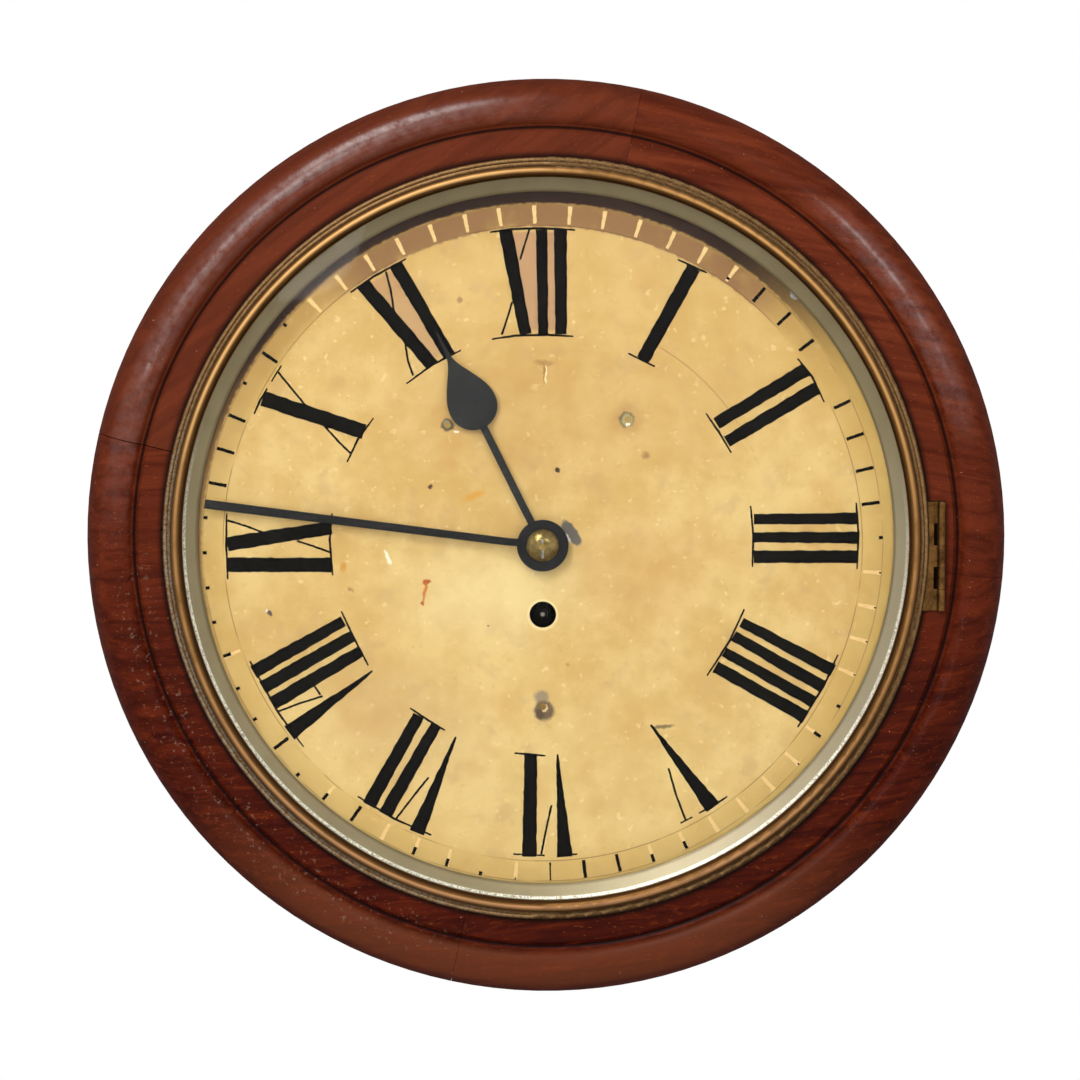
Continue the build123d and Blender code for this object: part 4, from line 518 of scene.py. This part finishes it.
# painted shadow of the bezel on the wood beside it
base = mahogany.mix(mahogany.step(radius, *woodRings["bore"]) * 0.85, base, tone(12, 4, 2))
knocks = mahogany.blotch(flat, 90.0, 0.75, 0.8, 0.83, 1.0)
base = mahogany.mix(knocks * 0.7, base, tone(196, 150, 120))
mottle = mahogany.noise(flat, 0.16, 5.0, 0.7)
sheen = (mahogany.band(radius, *woodRings["polished"], 2.0)
         * (mahogany.sector(unit, 316, 28, 50) + mahogany.sector(unit, 57, 9, 22)))
polish = sheen * mahogany.step(mottle, 0.25, 0.65) * 0.9 + 0.03
mahogany.give(Base_Color=base, Coat_Weight=polish, Roughness=mottle * 0.25 + 0.3,
              Normal=mahogany.bump(streak * 0.7 + pores * 0.3, 0.05, 0.0004))
dress(mahogany, "surround")

# plain wood of the box, its grain drawn out upwards
boxWood = Look("box_wood", Roughness=0.55, Specular_IOR_Level=0.25)
point = boxWood.place(scale=(perMetre, perMetre, perMetre * 0.08))
streak = boxWood.noise(point, 0.15, 5.0, 0.6, 0.4)
pores = boxWood.noise(point, 1.1, 2.0)
base = boxWood.mix(streak, tone(88, 48, 26), tone(146, 92, 54))
base = boxWood.mix(boxWood.step(pores, 0.56, 0.7) * 0.4, base, tone(60, 34, 20))
boxWood.give(Base_Color=base, Normal=boxWood.bump(streak, 0.1, 0.0004))
dress(boxWood, "back_board", "left_side", "right_side", "top_board", "curved_foot", "side_battens",
      "side_door", "bottom_door", "wood_pegs")
print("wood dressed")

# bronze bezel: a bead with painted highlights along its crest and painted shade on its inner fall, darker at
# the fillet and the outer edge, and a dull outer band
bezelRings = {"lip": (161.8, 160.8), "bead": (161.2, 164.5), "crest": (162.4, 163.7),
              "fillet": (164.5, 165.0), "edge": (167.8, 168.8)}
bronze = Look("bezel_bronze", Metallic=1.0)
point, flat, radius, unit = bronze.turned()
worn = bronze.noise(point, 0.07, 5.0, 0.6)
fine = bronze.noise(point, 0.9, 4.0, 0.65)
base = bronze.mix(bronze.step(fine, 0.3, 0.7), tone(106, 78, 48), tone(138, 108, 72))
grey = bronze.sector(unit, 238, 25, 60) * bronze.step(fine, 0.4, 0.6)
base = bronze.mix(grey * 0.7, base, tone(138, 130, 116))
bead = bronze.band(radius, *bezelRings["bead"], 0.3)
base = bronze.mix(bead, base, bronze.mix(worn, tone(96, 66, 34), tone(132, 94, 52)))
# painted highlights along the crest, strongest at the top left, the top right and the bottom
crest = bronze.band(radius, *bezelRings["crest"], 0.4)
base = bronze.mix(crest * bronze.step(worn, 0.2, 0.6) * 0.7, base, tone(166, 122, 74))
base = bronze.mix(crest * bronze.sector(unit, 322, 24, 50) * 0.6, base, tone(214, 168, 108))
base = bronze.mix(crest * bronze.sector(unit, 48, 16, 40) * 0.7, base, tone(188, 142, 86))
base = bronze.mix(crest * bronze.sector(unit, 185, 30, 75) * 0.6, base, tone(170, 126, 92))
# painted shade on the inner fall
base = bronze.mix(bronze.step(radius, *bezelRings["lip"]), base, tone(62, 37, 16))
base = bronze.mix(bronze.step(radius, *bezelRings["edge"]) * 0.6, base, tone(56, 36, 18))
base = bronze.mix(bronze.band(radius, *bezelRings["fillet"], 0.2) * 0.5, base, tone(60, 40, 22))
bronze.give(Base_Color=base, Roughness=fine * 0.25 + 0.38)
dress(bronze, "bezel")

# silvered sight ring: painted light on the lower right, the side that faces the key lamp, a painted glint
# along its outer edge, and darker at its foot
sightRings = {"paintedGlint": (158.7, 159.9), "foot": (155.0, 153.8)}
silver = Look("worn_silver", Metallic=0.7, Specular_IOR_Level=0.3)
point, flat, radius, unit = silver.turned()
worn = silver.noise(point, 0.09, 5.0, 0.65)
fine = silver.noise(point, 1.4, 4.0, 0.7)
base = silver.mix(worn, tone(126, 112, 82), tone(160, 146, 114))
# painted light: lighter on the lower right, which faces the key lamp
base = silver.mix(silver.sector(unit, 125, 26, 62) * 0.6, base, tone(164, 152, 128))
base = silver.mix(silver.step(fine, 0.62, 0.72) * 0.5, base, tone(84, 72, 50))
# painted glint along the outer edge, on the lower half of the ring
paintedGlint = silver.band(radius, *sightRings["paintedGlint"], 0.25)
paintedGlintSpots = paintedGlint * silver.sector(unit, 185, 75, 110) * silver.step(fine, 0.38, 0.56)
base = silver.mix(paintedGlintSpots, base, tone(240, 234, 220))
base = silver.mix(silver.step(radius, *sightRings["foot"]) * 0.6, base, tone(96, 76, 44))
silver.give(Base_Color=base, Roughness=worn * 0.2 + 0.35)
dress(silver, "sight_ring")

# the other metals
finishes = {
    # size of the mottling, dark and light colour, least roughness, its spread, metallic
    "plainBrass": (0.09, (132, 104, 56), (178, 146, 88), 0.22, 0.3, 1.0),
    "agedBrass": (0.2, (62, 40, 20), (118, 84, 44), 0.3, 0.3, 1.0),
    "collarBrass": (0.3, (104, 86, 48), (158, 136, 86), 0.2, 0.2, 1.0),
    "steel": (0.12, (118, 118, 116), (176, 176, 174), 0.22, 0.3, 1.0),
    "blued": (0.2, (24, 24, 24), (42, 42, 41), 0.4, 0.25, 0.5),
    "darkBlued": (0.2, (10, 9, 9), (26, 25, 26), 0.4, 0.25, 0.5),
}
windingHole = {
    "middle": (dial["middle"][0], 0, dial["middle"][1] - dial["windingDrop"]),
    "reach": 10.0,  # of the painted shade around it on the front plate
    "plate": -88.0,  # front of the front plate
    "tip": 0.7,  # radius of the pale tip of the winding square, kept out of the painted shade
}
leafEnd = (172.9, 172.3)  # left of this the fixed leaf has painted shade


def metal(name, finish):
    # mottled metal, its roughness running from least to least + spread
    scale, dark, light, least, spread, metallic = finishes[finish]
    made = Look(name, Metallic=metallic)
    point = made.millimetres()
    worn = made.noise(point, scale, 4.0, 0.6)
    fine = made.noise(point, scale * 14, 3.0, 0.6)
    base = made.mix(made.step(worn * 0.6 + fine * 0.4, 0.35, 0.65), tone(*dark), tone(*light))
    made.give(Base_Color=base, Roughness=fine * spread + least)
    made.color = base  # for what comes over it
    return made


def fromWinding(look, point):
    # how far a point is from the winding arbor's axis
    away = look.vector("SUBTRACT", point, windingHole["middle"])
    return look.vector("LENGTH", look.vector("MULTIPLY", away, (1, 0, 1)), output=1)


plainBrass = metal("plain_brass", "plainBrass")
agedBrass = metal("aged_brass", "agedBrass")
collarBrass = metal("collar_brass", "collarBrass")
steel = metal("steel", "steel")
blued = metal("blued_steel", "blued")
darkBlued = metal("dark_blued_steel", "darkBlued")

# the front plate, with painted shade near the winding arbor, where it is seen down the winding hole
holeShadedPlate = metal("hole_shaded_plate", "plainBrass")
away = fromWinding(holeShadedPlate, holeShadedPlate.millimetres())
near = holeShadedPlate.step(away, windingHole["reach"] + 2.5, windingHole["reach"])
holeShadedPlate.give(Base_Color=holeShadedPlate.mix(near, holeShadedPlate.color, tone(12, 9, 7)), Metallic=1 - near,
                Specular_IOR_Level=0.1)

# the fusee, its winding square given painted shade ahead of the front plate, all but a pale tip
holeShadedFusee = metal("hole_shaded_fusee", "plainBrass")
point = holeShadedFusee.millimetres()
ahead = holeShadedFusee.step(holeShadedFusee.split(point)[1], windingHole["plate"] + 1, windingHole["plate"] - 1)
tip = holeShadedFusee.step(fromWinding(holeShadedFusee, point), windingHole["tip"] + 0.6, windingHole["tip"] - 0.3)
square = holeShadedFusee.mix(tip, tone(16, 13, 11), tone(168, 158, 146))
holeShadedFusee.give(Base_Color=holeShadedFusee.mix(ahead, holeShadedFusee.color, square),
                Metallic=1 - ahead * (1 - tip), Specular_IOR_Level=0.1)

# the fixed hinge leaf, with painted shade where it lies behind the notches of the barrel
hingeLeaf = metal("dark_hinge_leaf", "agedBrass")
across = hingeLeaf.split(hingeLeaf.millimetres())[0]
behind = hingeLeaf.step(across, *leafEnd)
hingeLeaf.give(Base_Color=hingeLeaf.mix(behind, hingeLeaf.color, tone(16, 8, 5)))

gut = Look("gut_line", Roughness=0.6)
worn = gut.noise(gut.place(), 600.0)
gut.give(Base_Color=gut.mix(worn, tone(150, 112, 60), tone(196, 160, 104)))
dress(blued, "hour_hand", "mainspring")
dress(darkBlued, "minute_hand")
dress(holeShadedPlate, "front_plate")
dress(holeShadedFusee, "fusee")
dress(hingeLeaf, "surround_hinge_leaf")
dress(gut, "fusee_line")
dress(agedBrass, "bezel_hinge_leaf", "bezel_catch", "catch_spring")
dress(collarBrass, "hand_collet", "side_door_knob")
dress(plainBrass, "hanging_plate", "door_hinge_plates", "back_plate", "pillars", "back_cock",
      "motion_bridge", "side_door_hinge_leaves", "bottom_door_hinge_leaf", "side_turn_button",
      "bottom_turn_button", "cannon_wheel", "hour_wheel", "minute_wheel", "centre_wheel", "great_wheel",
      "barrel", "third_wheel", "escape_wheel", "pendulum_bob", "rating_nut", "dial_feet")
dress(steel, "hinge_pins", "screws", "taper_pins", "stop_block", "barrel_arbor", "setup_ratchet", "hand_pin",
      "fusee_clicks", "pallets", "crutch", "suspension_spring", "pendulum_rod", "stop_arm")
print("metal dressed")

clearGlass = Look("clear_glass", Base_Color=(0.99, 1.0, 0.99, 1.0), Roughness=0.02, IOR=1.1,
                  Transmission_Weight=1.0)
dress(clearGlass, "glass")

floor = {"segments": 96, "radius": 1.3, "height": -0.62}  # metres
floorMesh = bmesh.new()
bmesh.ops.create_circle(floorMesh, cap_ends=True, segments=floor["segments"], radius=floor["radius"])
bmesh.ops.translate(floorMesh, verts=floorMesh.verts, vec=(0, 0, floor["height"]))
paleFloor = Look("pale_floor", Base_Color=tone(232, 231, 229), Roughness=0.8)
floorPiece = placed(floorMesh, "floor", paleFloor)

# white to the camera, in metal and through glass, and a plain level on the rest
studio = {"level": 0.32, "white": 1.0}
world = bpy.data.worlds.new("studio")
bpy.context.scene.world = world
world.use_nodes = True
tree = world.node_tree
back = tree.nodes["Background"]
path = tree.nodes.new("ShaderNodeLightPath")
seen = tree.nodes.new("ShaderNodeMath")
seen.operation = "MAXIMUM"
tree.links.new(path.outputs["Is Camera Ray"], seen.inputs[0])
tree.links.new(path.outputs["Is Transmission Ray"], seen.inputs[1])
glossy = tree.nodes.new("ShaderNodeMath")
glossy.operation = "MAXIMUM"
tree.links.new(seen.outputs[0], glossy.inputs[0])
tree.links.new(path.outputs["Is Glossy Ray"], glossy.inputs[1])
level = tree.nodes.new("ShaderNodeMapRange")
level.inputs["To Min"].default_value = studio["level"]
level.inputs["To Max"].default_value = studio["white"]
tree.links.new(glossy.outputs[0], level.inputs["Value"])
back.inputs["Color"].default_value = (1, 1, 1, 1)
tree.links.new(level.outputs[0], back.inputs["Strength"])


def softLight(name, spot, aim, size, power):
    # a round area lamp at spot, turned towards aim
    data = bpy.data.lights.new(name, "AREA")
    data.shape = "DISK"
    data.size = size
    data.energy = power
    lamp = bpy.data.objects.new(name, data)
    bpy.context.scene.collection.objects.link(lamp)
    lamp.location = spot
    lamp.rotation_euler = (aim - spot).to_track_quat("-Z", "Y").to_euler()


lamps = {
    # name: (clock angle and degrees off the dial's axis, distance, size, watts)
    "key": (335, 45, 2.2, 0.8, 19),
    "left": (312, 26, 2.0, 0.5, 7.5),
    "right": (57, 27, 2.2, 0.35, 5.5),
}
lampAim = Vector((0, -0.12, 0))
for name, (clock, off, far, size, power) in lamps.items():
    clock = math.radians(clock)
    off = math.radians(off)
    toward = Vector((math.sin(off) * math.sin(clock), -math.cos(off), math.sin(off) * math.cos(clock)))
    softLight(name, lampAim + toward * far, lampAim, size, power)
print("lamps set")

shot = {
    # degrees, and metres: frame is how much of the world the picture spans at the aim
    "azimuth": 0.5, "elevation": 6.0, "distance": 2.2, "aim": (-0.0025, -0.110, -0.001), "frame": 0.4784,
    "film": 36.0, "near": 0.05, "far": 20.0,
}
camData = bpy.data.cameras.new("camera")
camera = bpy.data.objects.new("camera", camData)
bpy.context.scene.collection.objects.link(camera)
turned = math.radians(shot["azimuth"])
raised = math.radians(shot["elevation"])
across = math.cos(raised)
backward = Vector((math.sin(turned) * across, -math.cos(turned) * across, math.sin(raised)))
camera.location = Vector(shot["aim"]) + backward * shot["distance"]
camera.rotation_euler = (-backward).to_track_quat("-Z", "Y").to_euler()
camData.sensor_width = shot["film"]
camData.lens = shot["film"] * shot["distance"] / shot["frame"]
camData.clip_start = shot["near"]
camData.clip_end = shot["far"]
bpy.context.scene.camera = camera
bpy.context.scene.view_settings.view_transform = "Standard"
print("camera set")
